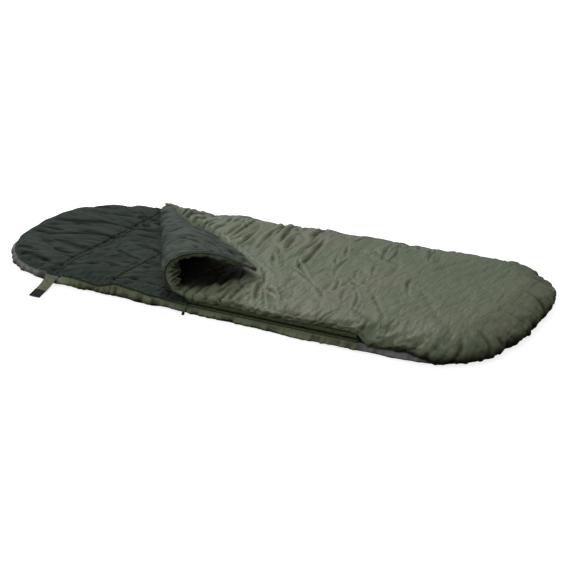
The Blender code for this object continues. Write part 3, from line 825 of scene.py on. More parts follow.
def build_base_wall():
    """The side wall and underside: grey, with the olive band along the zip."""
    step = 0.004
    loop, normal = even_loop(0.0, step)
    count = len(loop)
    x, y = loop[:, 0], loop[:, 1]
    arc = np.arange(count) * step
    out, up = rim_wave(loop)
    covered = np.maximum(ease(0.60, 0.70, x),
                         ease(0.0, 0.2, y) * ease(-0.66, -0.60, x))
    zero = arc * 0
    pucker = 0.55 * line_noise(arc, 0.040, 9) + 0.75 * line_noise(arc, 0.0125, 5)
    lift = np.clip(line_noise(arc, 0.09, 31) * 1.3, 0, 1) * 0.0050
    rings = []
    for inset, share, free, drop in WALL:
        bulge = free * (0.0070 * pucker + 0.0020 * value_noise(arc / 0.007, zero + share * 9, 21))
        inset = inset + (0.0060 + 0.0045 * ease(0.75, 0.2, share)) * covered * (inset < 0.02)
        level = (RIM_Z + 0.0008 + up) * share + drop
        level = level + free * 0.0016 * value_noise(arc / 0.014, zero + share * 6, 77)
        level = level + lift * ease(0.5, 0.0, share) * (share > 0.003)
        spread = (0.005 + 0.011 * ease(0.15, 0.50, x)) * (y < 0) * ease(0.98, 0.80, x)
        inset = inset - spread * ease(0.9, 0.3, share) * (share > 0)
        inset = inset - bulge * (1 - 0.7 * covered) - out * min(share * 1.5, 1)
        edge = loop + normal * inset[:, None]
        rings.append(np.column_stack([edge, np.maximum(level, 0.0003 if share else 0.0)]))
    points = np.array(rings).reshape(-1, 3)
    # Painted shade: darker in the hollows between puckers, and a painted contact shadow along the
    # bottom of the wall.
    painted_shade = np.concatenate([np.clip(0.35 - pucker * 0.9, 0, 1) * f * 0.8
                           + 1.5 * ease(0.42, 0.05, s) for _, s, f, _ in WALL])
    near = (y < 0) & (x > ZIP_START_X) & (x < ZIP_END_X)
    band, grey = [], []
    for r in range(len(WALL) - 1):
        for i in range(count):
            j = (i + 1) % count
            quad = (r * count + i, (r + 1) * count + i, (r + 1) * count + j, r * count + j)
            (band if near[i] and near[j] else grey).append(quad)
    skin = take_faces("base_skin", points, grey, painted_shade)
    finish_piece(skin, "grey", "base_grey", "bag", "base_shell", "base_batting")
    side = take_faces("side_band", points, band, painted_shade)
    finish_piece(side, "band", "shell_olive", "bag", "near_side_band")
    # The underside, a flat sheet within the wall's last ring.
    ring = points[-count:, :2][::3]
    xy, faces = triangulate(ring, lambda p: p[:, 0] > 9, 0.02, 0.045)
    under = np.column_stack([xy, 0.0006 * fractal(xy[:, 0] * 9, xy[:, 1] * 9, 55) ** 2])
    under = new_object("underside", under, faces[:, ::-1])
    finish_piece(under, "grey", "base_grey", "bag")


# --- Cover and folded corner ---
SEAM_HIGH = 0.0575
CROWN = 0.0985
TOP_SHARES = np.array([0, 0.10, 0.24, 0.42, 0.66, 1.0])
TOP_ZIP = np.array([(0.0050, SEAM_HIGH), (-0.0035, 0.0600), (-0.0065, 0.0690), (0.0020, 0.0820),
                    (0.0350, 0.0935), (0.10, CROWN)])
TOP_GUSSET = np.array([(0.0050, 0.0040), (-0.0035, 0.0150), (-0.0085, 0.0350), (-0.0010, 0.0590),
                       (0.0295, 0.0800), (0.10, CROWN)])


def profile_at(points, share):
    steps = np.linspace(0, 1, 80)
    curve = catmull(points, steps)
    marks = np.interp(steps, np.linspace(0, 1, len(points)), TOP_SHARES)
    return np.interp(share, marks, curve[:, 0]), np.interp(share, marks, curve[:, 1])


def zip_share(edge):
    """1 along the zip, 0 where the cover is sewn down to the ground."""
    return (edge[:, 1] < 0) * ease(ZIP_END_X + 0.055, ZIP_END_X - 0.005, edge[:, 0])


def closed_shape(xy):
    """The cover laid out flat: its shell and its lining, for points of the flat cut."""
    inside, normal, index = edge_of(xy)
    e = np.clip(inside + SIDE_WRAP, 0, PROFILE)
    share = e / PROFILE
    edge = EDGE[index]
    zipped = zip_share(edge)
    far_inset, far_z = profile_at(TOP_GUSSET, share)
    zip_inset, zip_z = profile_at(TOP_ZIP, share)
    # The near foot's grey base shows below the cover's seam.
    lifted = ease(0.62, 0.70, edge[:, 0]) * ease(0.92, 0.80, edge[:, 0])
    lifted = (edge[:, 1] < 0) * lifted
    arc = index * EDGE_STEP
    scallop = 0.0030 * line_noise(arc, 0.055, 41) + 0.0018 * line_noise(arc, 0.021, 43)
    low = (0.016 * lifted + scallop + 0.002) * (1 - ease(0.0, 0.5, share))
    far_z = far_z + low
    lumps = 0.008 * line_noise(arc, 0.10, 47) + 0.003 * line_noise(arc, 0.035, 49)
    lumps = lumps - 0.006 * bell(np.hypot(edge[:, 0] - 1.03, edge[:, 1] + 0.24), 0.07)
    far_inset = far_inset + (lumps - 0.003) * (1 - ease(0.3, 0.9, share))
    inset = far_inset + (zip_inset - far_inset) * zipped
    z = far_z + (zip_z - far_z) * zipped
    flat = e >= PROFILE - 1e-9
    shift = np.where(flat, 0, inset - (e - SIDE_WRAP))
    top = np.column_stack([xy + normal * shift[:, None], z])
    seam_inset, _ = profile_at(TOP_GUSSET, share * 0)
    seam_inset = seam_inset + (0.0050 - seam_inset) * zipped
    under_inset = seam_inset + share * (0.10 - seam_inset)
    under_inset = under_inset + 0.006 * np.sin(np.pi * share) * (1 - zipped)
    seam_z = 0.0065 + low + (SEAM_HIGH - 0.0065 - low) * zipped
    shift = np.where(flat, 0, under_inset - (e - SIDE_WRAP))
    under_z = seam_z + (COVER_UNDER - seam_z) * ease(0, 0.18, share)
    under = np.column_stack([xy + normal * shift[:, None], under_z])
    # The hem at the head edge is thin.
    hem = xy[:, 0] - COVER_HEAD_X
    full = 1 - (1 - np.clip(hem / 0.05, 0, 1)) ** 2
    spare = top[:, 2] - under[:, 2] - 0.006
    top[:, 2] -= np.maximum(spare, 0) * (1 - np.sqrt(full))
    point = 0.020 * bell(xy[:, 1] - FOLD_FAR[1], 0.035) * ease(0.06, 0.0, hem)
    top[:, 2] += point
    under[:, 2] += point * (hem < 1e-6)
    on_hem = (hem < 1e-6)[:, None]
    on_seam = (inside + SIDE_WRAP < 1e-4)[:, None]
    middle = 0.5 * (top + under)
    top, under = np.where(on_hem, middle, top), np.where(on_hem, middle, under)
    under = np.where(on_seam, top, under)
    return top, under


# How far along the fold the painted dark shade inside the roll reaches, by the distance beside it.
CAVE = np.array([(-0.10, 0.80), (-0.025, 0.860), (0.005, 0.930), (0.035, 0.975), (0.070, 0.985),
                 (0.120, 0.985), (0.170, 0.955), (0.230, 0.905), (0.280, 0.885), (0.35, 0.88)])
# How dark the painted shade inside the roll and the mouth is.
CAVE_PAINTED_SHADE = 1.40
# Width of the ring of shell inside the mouth that is left clear of the painted shade, by the place
# round the roll.
RING = (0.0, 0.12, 0.36, 0.52, 0.78, 1.0), (0.10, 0.115, 0.100, 0.046, 0.022, 0.008)


def sheet_depth(t, s=None):
    """Thickness of the rolled cloth: thin at the roll's point and the flap's tip, plump where
    the mouth turns."""
    depth = 0.006 + (QUILT - 0.006) * ease(0.0, 0.42, t)
    if s is not None:
        depth = depth + 0.022 * bell(s - 0.30, 0.17) * ease(0.70, 0.97, t)
        depth = depth * (1 - 0.70 * ease(0.78, 1.0, s) * ease(0.74, 1.0, t))
    return depth


def fold_place(s, t):
    """The rolled corner's lining; s goes round the roll, t from its point to its mouth."""
    local = catmull(FAR_END, s) * (1 - t)[:, None] + catmull(MOUTH, s) * t[:, None]
    crest = ease(0.42, 0.62, t) * (1 - ease(0.84, 1.02, t)) * ease(0.30, 0.62, s)
    tuck = bell(t - 0.40 + 0.10 * (1 - s), 0.055) * ease(0.15, 0.40, s)
    wing = 0.020 * ease(0.45, 1.0, s) * bell(t - 0.085, 0.060)
    local = local + np.stack([0 * s, wing - 0.004 * tuck, 0.017 * crest - 0.009 * tuck], -1)
    plan = FOLD_FAR + local[:, :1] * FOLD_DIR + local[:, 1:2] * FOLD_SIDE
    return np.column_stack([plan, local[:, 2]])


def fold_normal(s, t):
    d = 0.004
    lo, hi = np.maximum(s - d, 0), np.minimum(s + d, 1)
    across = fold_place(hi, t) - fold_place(lo, t)
    along = fold_place(s, t + d) - fold_place(s, t - d)
    n = np.cross(along, across)
    return unit(n)


def fold_parameters(xy, boundary):
    """Polar place of each flat point about the roll's point: s round, t out."""
    def polar(p):
        v = p - FOLD_FAR
        a, b = v @ FOLD_DIR, v @ FOLD_SIDE
        return np.arctan2(-b, a), np.hypot(a, b)

    widest = math.acos(-FOLD_DIR[1])
    angle, reach = polar(xy)
    s = np.clip(angle / widest, 0, 1)
    near = np.vstack([boundary[(boundary[:, 1] < -0.3) & (boundary[:, 0] > COVER_HEAD_X + 1e-6)],
                      boundary[-1:]])
    edge_angle, edge_reach = polar(near)
    order = np.argsort(edge_angle)
    limit = np.interp(angle, edge_angle[order], edge_reach[order])
    t = np.clip(reach / limit, 0, 1)
    folded = (angle > 0) & (xy[:, 1] < FOLD_FAR[1])
    return np.where(folded, s, 0.0), np.where(folded, t, 0.0), limit * (1 - t)


def cover_boundary(step):
    loop, _ = even_loop(-SIDE_WRAP, step)
    keep = loop[:, 0] > COVER_HEAD_X + step * 0.5
    start = int(np.nonzero(keep & ~np.roll(keep, 1))[0][0])
    loop = np.roll(loop, -start, axis=0)[np.roll(keep, -start)]
    dense = outline(np.linspace(0, 4, 8001), -SIDE_WRAP)
    dense = dense[dense[:, 0] < 0]
    ends = []
    for sign in (1, -1):
        half = dense[dense[:, 1] * sign > 0]
        order = np.argsort(half[:, 0])
        ends.append(float(np.interp(COVER_HEAD_X, half[order, 0], half[order, 1])))
    count = int((ends[0] - ends[1]) / step)
    head = np.column_stack([np.full(count + 1, COVER_HEAD_X), np.linspace(*ends, count + 1)])
    return np.vstack([loop, head])


def gather_angle(x):
    """Direction of the long gathers that fall from the far edge."""
    return np.interp(x, (-0.60, -0.30, 0.0, 0.25), (1.48, 1.66, 1.74, 1.80))


def cover_creases():
    marks = []
    upright = math.pi / 2
    # Long gathers falling from the far edge, strongest beside the roll, and short ones.
    for x in np.arange(-0.60, 0.16, 0.036):
        marks.append(crease(x + RNG.uniform(-0.012, 0.012), RNG.uniform(0.10, 0.32),
                            gather_angle(x), 0.09, (0.24, 0.50), (0.0055, 0.0095),
                            (0.0045, 0.0095), (0.5, 0.5)))
    for x in np.arange(-0.62, 0.20, 0.055):
        marks.append(crease(x + RNG.uniform(-0.02, 0.02), RNG.uniform(0.20, 0.38),
                            gather_angle(x), 0.3, (0.07, 0.18), (0.004, 0.007),
                            (0.0025, 0.0050), (0, 0.6)))
    # Puckers along the far edge.
    for x in np.arange(-0.67, 0.95, 0.017):
        marks.append(crease(x + RNG.uniform(-0.007, 0.007), 0.45 - RNG.uniform(0.0, 0.07),
                            upright, 0.30, (0.04, 0.15), (0.0040, 0.0080), (0.0016, 0.0046),
                            (0, 0.5)))
    # Puckers along the near edge, above the zip, and the tucks that they run into.
    x = -0.09
    while x < 0.95:
        x += RNG.exponential(0.017) + 0.004
        marks.append((x, -0.455 + RNG.uniform(0.0, 0.07), upright + RNG.normal(0, 0.5),
                      RNG.uniform(0.03, 0.15), RNG.uniform(0.0038, 0.0080),
                      RNG.uniform(0.0010, 0.0018) * RNG.uniform(0.8, 2.4), RNG.normal(0, 0.7)))
    # Round the foot, square to the rim.
    for p, nrm in zip(EDGE[::6], EDGE_NORMAL[::6]):
        if p[0] >= 0.78:
            x, y = p + nrm * RNG.uniform(-0.055, 0.025)
            marks.append(crease(x, y, math.atan2(nrm[1], nrm[0]), 0.4, (0.05, 0.18),
                                (0.005, 0.011), (0.0022, 0.0070), (0, 0.5)))
    # Short sharp pinches in the middle, long faint pulls between them, and pulls from the
    # roll's mouth and its near corner.
    for count, x_range, y_range, *ranges in (
        (34, (-0.02, 0.66), (-0.34, 0.34), 2.0, 0.30, (0.10, 0.24), (0.0036, 0.0062),
         (0.0020, 0.0046), (0.6, 0.8)),
        (26, (-0.05, 0.92), (-0.34, 0.34), 1.8, 0.7, (0.18, 0.42), (0.007, 0.014),
         (0.0010, 0.0026), (0, 0.4)),
        (30, (-0.08, 0.16), (-0.40, -0.20), 1.62, 0.24, (0.10, 0.24), (0.0042, 0.0075),
         (0.0030, 0.0066), (0, 0.6)),
    ):
        for _ in range(count):
            marks.append(crease(RNG.uniform(*x_range), RNG.uniform(*y_range), *ranges))
    return marks


def fold_creases():
    """Cross folds of the roll's lining, in the plane of the flat cut."""
    marks = []
    for _ in range(52):
        angle, reach = RNG.uniform(0.10, 0.66), RNG.uniform(0.10, 0.86)
        x, y = FOLD_FAR + reach * (FOLD_DIR * math.cos(angle) - FOLD_SIDE * math.sin(angle))
        marks.append(crease(x, y, math.atan2(FOLD_SIDE[1], FOLD_SIDE[0]), 0.30, (0.08, 0.24),
                            (0.006, 0.011), (0.0020, 0.0052), (0, 0.7)))
    for x in np.arange(-0.70, -0.05, 0.020):
        marks.append(crease(x + RNG.uniform(-0.008, 0.008), -0.425 + RNG.uniform(-0.03, 0.02),
                            math.pi / 2, 0.3, (0.05, 0.14), (0.0045, 0.0080), (0.0012, 0.0032)))
    return marks


def mouth_creases():
    """Gathers of the shell just inside the mouth."""
    marks = []
    x = -0.73
    while x < -0.02:
        x += RNG.uniform(0.012, 0.030)
        length = RNG.uniform(0.14, 0.28)
        marks.append((x, -0.474 + length * RNG.uniform(0.28, 0.42),
                      math.pi / 2 + RNG.normal(0, 0.22), length, RNG.uniform(0.0070, 0.0115),
                      RNG.uniform(0.0080, 0.0170), RNG.normal(0, 0.5)))
    return marks


def fold_plan(xy):
    """Plan points as (across, along) the fold line, from its far end."""
    return (xy - FOLD_FAR) @ FOLD_SIDE, (xy - FOLD_FAR) @ FOLD_DIR


def press_down(shell, xy, rim, hem_gap):
    """Gives the cover's top its broad swell, its low places and the flap's weight."""
    broad = fractal(xy[:, 0] * 3.0, xy[:, 1] * 2.4, 3) * 0.0060 * ease(0.05, 0.14, rim)
    shell[:, 2] += broad * ease(0.0, 0.03, hem_gap)
    x, y = xy.T
    far_low = 0.008 * ease(0.10, 0.34, y) * (1 - ease(-0.35, 0.25, x))
    far_low = far_low + 0.014 * bell(x + 0.45, 0.09) * ease(0.18, 0.38, y)
    far_low = far_low + 0.009 * bell(np.hypot(x - 1.02, y - 0.33), 0.10)
    far_low = far_low - 0.006 * bell(x - 0.86, 0.12) * ease(0.18, 0.38, y)
    shell[:, 2] -= far_low * ease(0.02, 0.09, rim)
    beside, along = fold_plan(xy)
    part = np.clip(along / MOUTH[-1, 0], 0, 1)
    flap_z = FAR_END[-1, 2] * (1 - part) + MOUTH[-1, 2] * part - sheet_depth(part) - 0.003
    under_flap = 1 - ease(0.0, 0.055, beside - MOUTH[-1, 1] * part)
    under_flap = under_flap * ease(0.05, 0.10, rim) * ease(-0.12, 0.0, along)
    shell[:, 2] -= np.maximum(shell[:, 2] - flap_z, 0) * under_flap


def roll_corner(shell, lining, s, t, edge_gap, hem_gap):
    """The shell and lining, with the corner's points carried round the roll."""
    rolled = s > 0
    out = fold_place(s, t)
    nrm = fold_normal(s, np.clip(t, 0.02, 1))
    depth = sheet_depth(t, s)
    depth = depth * (1 - 0.6 * (1 - ease(0.0, 0.08, hem_gap)))
    gap = np.minimum(np.where(rolled, edge_gap, 1), np.where(rolled, hem_gap * 0.8, 1))
    soft = np.sqrt(1 - (1 - np.clip(gap / (0.010 + 0.80 * depth), 0, 1)) ** 2)
    roll_lining = out - nrm * (depth * 0.12 * (1 - soft))[:, None]
    roll_shell = out - nrm * (depth * (0.12 + 0.88 * soft))[:, None]
    w = (ease(0.0, 0.13, s) * rolled)[:, None]
    return shell * (1 - w) + roll_shell * w, lining * (1 - w) + roll_lining * w


def cover_moves(flat, s, t, rim, shell_side, lining_side, in_roll):
    """How far the cover's folds and creases move each point along its normal."""
    move = np.zeros(len(flat))
    k = np.nonzero(shell_side & (s < 0.10))[0]
    x, y = flat[k, 0], flat[k, 1]
    foot = x - y / np.tan(gather_angle(x))
    gathered = ease(0.42, -0.05, x) * ease(-0.30, 0.12, y)
    folds = 0.0062 * gathered * soft_folds(y / 0.30, foot / 0.050, 63)
    broad = soft_folds((0.9 * y - 0.4 * x) / 0.16, (0.9 * x + 0.4 * y) / 0.075, 64)
    folds = (folds + 0.0026 * broad) * ease(0.03, 0.10, rim[k])
    move[k] += (folds + creases(flat[k], cover_creases())) * (1 - in_roll[k])
    k = np.nonzero(shell_side & (s > 0.0))[0]
    shallower = 1.3 - 0.85 * ease(0.38, 0.52, s[k])
    gathers = creases(flat[k], mouth_creases()) * in_roll[k]
    move[k] += gathers * ease(0.3, 0.7, t[k]) * shallower
    k = np.nonzero(lining_side & (s > 0.02))[0]
    y, x = fold_plan(flat[k])
    folds = 0.0060 * soft_folds(y / 0.13, x / 0.042, 66)
    move[k] += (folds + 1.2 * creases(flat[k], fold_creases())) * in_roll[k]
    return move


def cover_painted_shade(painted_shade, flat, s, t, rim, shell_side):
    """The folds' painted shade, with painted darkness inside the roll and mouth and on the cover
    under the roll, a painted shadow low on the cover's sides and deeper painted shade low on the
    foot.
    """
    # Painted darkness deep inside the roll, beyond the ring of shell at the mouth.
    inner = shell_side * ease(0.03, 0.22, s)
    ring = np.interp(s, *RING) * (1 + 0.25 * line_noise(flat[:, 0], 0.020, 73))
    painted_shade = np.maximum(painted_shade, inner * ease(ring, ring + 0.040, (1 - t) * 0.85) * CAVE_PAINTED_SHADE)
    beside, along = fold_plan(flat)
    reach = np.interp(beside, CAVE[:, 0], CAVE[:, 1])
    reach = reach + 0.007 * line_noise(beside, 0.030, 71)
    cave = ease(reach + 0.012, reach - 0.022, along)
    to_flap_edge = MOUTH[-1, 1] * along / MOUTH[-1, 0] - beside
    cave = cave * ease(0.68, 0.84, along) * ease(-0.004, 0.022, to_flap_edge)
    at_foot = ease(0.62, 0.80, flat[:, 0]) * ease(0.30, 0.10, flat[:, 1])
    # Painted shadow low on the cover's sides, deeper painted shade low round the foot, and painted
    # darkness on the cover under the roll's mouth.
    for shade in ((s < 0.02) * ease(0.030, 0.0, rim) * 0.9,
                  at_foot * ease(0.062, 0.022, rim) * 1.15,
                  (s < 0.25) * cave * CAVE_PAINTED_SHADE):
        painted_shade = np.maximum(painted_shade, shell_side * shade)
    return painted_shade


def build_cover():
    boundary = cover_boundary(CLOTH_STEP)
    xy, faces = triangulate(
        boundary, lambda p: (edge_of(p)[0] < 0.04) | (p[:, 0] < 0.0), CLOTH_STEP, 0.0100)
    count = len(xy)
    shell, lining = closed_shape(xy)
    s, t, edge_gap = fold_parameters(xy, boundary)
    hem_gap = np.maximum(xy[:, 0] - COVER_HEAD_X, 0)
    rim = edge_of(xy)[0] + SIDE_WRAP
    press_down(shell, xy, rim, hem_gap)
    shell, lining = roll_corner(shell, lining, s, t, edge_gap, hem_gap)

    # One closed mesh: the shell's points, then the lining's inner points.
    on_edge = nearest(plan_tree(boundary), xy)[1] < 1e-5
    shell[on_edge] = np.where((s > 0)[:, None], 0.5 * (shell + lining), shell)[on_edge]
    free = np.nonzero(~on_edge)[0]
    lining_index = np.arange(count)
    lining_index[free] = count + np.arange(len(free))
    points = np.vstack([shell, lining[free]])
    all_faces = np.vstack([faces, lining_index[faces][:, ::-1]])

    hold = np.full(len(points), 0.04)
    hold[:count][on_edge] = 1.0
    hold[:count][~on_edge & (s > 0.02)] = 0.10
    hold[count:] = np.where(s[free] > 0.06, 0.10, 1.0)
    cap = np.full(len(points), 0.013)
    cap[:count][s > 0.02] = 0.009
    cap[count:] = 0.007
    points = relaxed(points, all_faces, hold, grow=0.05, pressure=1.4, cap=cap)

    thick = norm(shell - lining, axis=1)
    values = np.column_stack([xy, s, t, rim, hem_gap, thick])
    is_lining = np.r_[np.where(on_edge, 0.5, 0.0), np.ones(len(free))]
    values = np.column_stack([np.vstack([values, values[free]]), is_lining])
    points, fine, values = subdivided(points, all_faces, values)
    flat = values[:, :2]
    s, t, rim, hem_gap, thick, is_lining = values[:, 2:].T
    shell_side, lining_side = is_lining < 0.4, is_lining > 0.6
    in_roll = ease(0.02, 0.10, s)
    move = cover_moves(flat, s, t, rim, shell_side, lining_side, in_roll)
    move *= ease(0.0, 0.012, rim) * ease(0.0, 0.012, hem_gap)
    # A groove goes no deeper than the padding under it.
    deepest = np.where(in_roll > 0.5, np.where(is_lining > 0.5, 0.30, 0.45), 0.75) * thick
    move = np.maximum(move, -deepest)
    points = points + point_normals(points, fine) * move[:, None]
    # Painted shade in the folds and grooves, stronger on the lining.
    painted_shade = np.clip((-move - 0.0004) / 0.0052, 0, 1) * np.where(lining_side, 1.0, 0.75)
    painted_shade = cover_painted_shade(painted_shade, flat, s, t, rim, shell_side)

    # Subdivision makes four blocks of faces, each with the shell's first.
    upper = np.arange(len(fine)) // len(faces) % 2 == 0
    part = s[fine].mean(1) > 0.10
    return {name: take_faces(name, points, fine[chosen], painted_shade) for name, chosen in (
        ("cover_skin", upper & ~part), ("cover_underside", ~upper & ~part),
        ("fold_skin", upper & part), ("fold_fleece", ~upper & part))}


# --- Trims ---
def section(kind, wide, thick, count=8):
    """A closed profile in (across, out) about its own middle."""
    a = np.arange(count) * 2 * math.pi / count
    if kind == "round":
        return np.stack([np.cos(a) * wide / 2, np.sin(a) * thick / 2], -1)
    return plan(signed_power(np.cos(a), 0.35) * wide / 2,
                signed_power(np.sin(a), 0.35) * thick / 2)


def along_path(path, across, out, profile, scale):
    """Rings of a profile set along a path: its first axis goes across, its second out."""
    return np.array([p + (profile[:, :1] * a + profile[:, 1:] * o) * k
                     for p, a, o, k in zip(path, across, out, scale)])


def resample(path, step, *others):
    run = distances(path)
    at = np.linspace(0, run[-1], int(run[-1] / step) + 1)
    path, *others = (plan(*(np.interp(at, run, v[:, k]) for k in range(3)))
                     for v in (path, *others))
    return at, path, *(unit(v) for v in others)


COIL_STEP = 0.00055          # rings along a coil, fine enough for its teeth


def teeth(run, pitch=0.0022):
    return 1 + 0.22 * signed_power(np.sin(run * 2 * math.pi / pitch), 0.5)


def trim(name, path, across, out, profile, look, slot, body, nodes, step=0.004):
    """A tape, cord or coil swept along a path on the cloth."""
    run, path, across, out = resample(path, step, across, out)
    scale = teeth(run) if look == "coil" else np.ones(len(path))
    obj = sweep(name, along_path(path, across, out, profile, scale))
    return finish_piece(obj, look, slot, body, *nodes)


def near_path(first, last, inset, height):
    """Points along the near side from x = first to last, the upward and outward directions."""
    pick = (EDGE[:, 1] < 0) & (EDGE[:, 0] >= first) & (EDGE[:, 0] <= last)
    place, normal = EDGE[pick], EDGE_NORMAL[pick]
    order = np.argsort(place[:, 0])
    place, normal = place[order], normal[order]
    out, up = rim_wave(place)
    loose = (1 - ease(-0.16, -0.07, place[:, 0]))[:, None]
    xy = place + normal * (inset - out)[:, None]
    outward = np.column_stack([-normal, np.zeros(len(xy))])
    rise = np.array([0.0, 0.0, 1.0]) + outward * 0.55 * loose
    rise = unit(rise)
    base = np.column_stack([xy, RIM_Z + up])
    return base + rise * height, rise, np.cross(rise, np.cross(outward, rise))


def build_zip():
    # Each row's first x, and the heights of its edges above the rim.
    for row, first, low, high in (
        ("lower_tape", ZIP_START_X, 0.0007, 0.0078), ("lower_coil", ZIP_START_X, 0.0090, 0.0112),
        ("upper_coil", SLIDER_X + 0.004, 0.0128, 0.0150),
        ("upper_tape", SLIDER_X + 0.002, 0.0158, 0.0300),
    ):
        path, rise, out = near_path(first, ZIP_END_X, ZIP_INSET, (low + high) / 2)
        side, look = row.split("_")
        profile = ("round", high - low, 0.0030) if look == "coil" else ("flat", high - low, 0.0012)
        trim(row, path, rise, out, section(*profile), look, "zip_" + look, "bag",
             (side + "_zip_" + look,), COIL_STEP if look == "coil" else 0.004)
    path, rise, out = near_path(ZIP_START_X, ZIP_END_X, inset=0.0022, height=0.0018)
    # The lower cord wears the darker copy of the piping: painted shade.
    trim("lower_cord", path, rise, out, section("round", 0.0026, 0.0026), "cord", "piping",
         "bag", ("lower_piping",))
    # A fine cord closes the seam round the head between the lining and the base.
    pick = EDGE[:, 0] < ZIP_START_X + 0.002
    order = np.argsort(np.arctan2(EDGE[pick][:, 1], -(EDGE[pick][:, 0] + 0.5)))
    place, normal = EDGE[pick][order], EDGE_NORMAL[pick][order]
    out, up = rim_wave(place)
    path = np.column_stack([place + normal * (0.0040 - out)[:, None], RIM_Z + 0.0014 + up])
    upward = np.tile((0.0, 0.0, 1.0), (len(path), 1))
    outward = np.column_stack([-normal, np.zeros(len(path))])
    trim("head_rim_cord", path, upward, outward, section("round", 0.0034, 0.0034), "band",
         "shell_olive", "bag", ())


def mouth_path(s):
    one = np.ones(len(s))
    path = fold_place(s, one)
    outward = fold_place(s, one) - fold_place(s, one * 0.99)
    outward = unit(outward)
    normal = fold_normal(s, one)
    # The edge of the cloth, where its lining and shell meet, lies a little inside the lining.
    return path - normal * (0.12 * QUILT), outward, normal


def build_mouth_trims():
    s = np.linspace(0.12, 0.985, 240)
    path, outward, normal = mouth_path(s)
    trim("mouth_tape", path + outward * 0.0030, outward, normal, section("flat", 0.0080, 0.0012),
         "tape", "zip_tape", "fold", ("roll_zip_tape", "flap_zip_tape"), 0.003)
    trim("mouth_coil", path + outward * 0.0080, outward, normal, section("round", 0.0024, 0.0030),
         "coil", "zip_coil", "fold", ("roll_zip_coil", "flap_zip_coil"), COIL_STEP)
    shown = ease(0.12, 0.20, s) * (1 - ease(0.40, 0.52, s))
    cord = path + outward * (0.0010 + 0.0040 * shown)[:, None]
    cord = cord + normal * (0.0030 * shown - 0.0022)[:, None]
    trim("mouth_cord", cord, outward, normal, section("round", 0.0030, 0.0030), "piping", "piping",
         "fold", ("roll_piping", "flap_piping"), 0.003)


def build_binding():
    """The light binding over the flap's head edge, from the far corner to the near tip."""
    t = np.linspace(0.012, 0.985, 220)
    one = np.ones(len(t))
    path = fold_place(one, t)
    normal = fold_normal(one, np.clip(t, 0.02, 1))
    edge = fold_place(one, t) - fold_place(one * 0.99, t)
    edge[t < 0.03] = edge[np.searchsorted(t, 0.03)]
    edge = unit(edge)
    depth = sheet_depth(t, one)
    path = path - normal * (depth * 0.12 * 0.4)[:, None] - edge * 0.0020
    trim("flap_binding", path, edge, normal, section("flat", 0.0150, 0.0070, 12), "binding",
         "webbing", "fold", ("flap_head_binding",))


# --- Small soft pieces ---
SIDEWAYS = np.array([1.0, 0.0, 0.0])


def slab(name, outer, inner):
    """A closed thin piece between two grids of points."""
    rows, cols = outer.shape[:2]
    points = np.vstack([outer.reshape(-1, 3), inner.reshape(-1, 3)])
    grid = np.arange(rows * cols).reshape(rows, cols)
    faces = []
    for i in range(rows - 1):
        for j in range(cols - 1):
            quad = (grid[i, j], grid[i, j + 1], grid[i + 1, j + 1], grid[i + 1, j])
            faces += [quad, tuple(k + rows * cols for k in quad[::-1])]
    rim = [*grid[0], *grid[1:, -1], *grid[-1, -2::-1], *grid[-2:0:-1, 0]]
    for a, b in zip(rim, rim[1:] + rim[:1]):
        faces.append((b, a, a + rows * cols, b + rows * cols))
    obj = new_object(name, points, faces)
    face_outwards(obj)
    return obj


def stitches(name, rows, body, *nodes, thick, length, pitch):
    """Rows of thread stitches; each row is a path and the surface's normals along it."""
    points, faces = [], []
    for path, normal in rows:
        run, path, normal = resample(np.asarray(path, float), 0.0005, np.asarray(normal, float))
        for at in np.arange(pitch * 0.5, run[-1] - length * 0.5, pitch):
            k = np.searchsorted(run, (at - length / 2, at, at + length / 2))
            k = np.clip(k, 0, len(run) - 1)
            way = path[k[2]] - path[k[0]]
            way /= norm(way) + 1e-12
            side = np.cross(normal[k[1]], way)
            first = len(points)
            for place, share in zip(k, (0.35, 1.0, 0.35)):
                centre = path[place] + normal[place] * thick * 0.35 * (share > 0.5)
                for a in np.arange(5) * 2 * math.pi / 5:
                    points.append(centre + (side * math.cos(a) + normal[place] * math.sin(a))
                                  * thick / 2 * share)
            faces += tube_faces(first, 3, 5)
    obj = new_object(name, points, faces)
    face_outwards(obj)
    return finish_piece(obj, "thread", "webbing", body, *nodes)


def surface_of(obj):
    """The piece's surface as a tree, in the bag frame."""
    mesh = obj.data
    points = [v.co - Vector((0, CENTRE_Y, 0)) for v in mesh.vertices]
    return BVHTree.FromPolygons(points, [tuple(f.vertices) for f in mesh.polygons])


def dropped(surface, path, lift):
    """Points of a plan path, set on the surface below, with its normals."""
    places, normals = [], []
    for x, y in path:
        hit, normal, _, _ = surface.ray_cast(Vector((x, y, 1.0)), Vector((0, 0, -1)))
        if hit is not None:
            places.append(tuple(hit + Vector((0, 0, lift))))
            normals.append(tuple(normal))
    return np.array(places), np.array(normals)


def build_quilt_stitches(surfaces):
    rows = []
    for line, _ in QUILT_LINES[:3]:
        y = np.linspace(-0.405, 0.405, 260)
        half = WIDTH / 2 * np.clip(1 - np.clip((HEAD_X - line) / HEAD_ROUND, 0, 1) ** HEAD_POWER,
                                   0, 1) ** (1 / HEAD_POWER) - 0.012
        y = y[np.abs(y) < half]
        path = np.column_stack([line_sway(line, y), y])
        for surface in surfaces:
            places, normals = dropped(surface, path, 0.0)
            if len(places) > len(path) * 0.9:
                rows.append((places, normals))
                break
    stitches("quilt_stitches", rows, "bag", thick=0.0009, length=0.0038, pitch=0.0056)


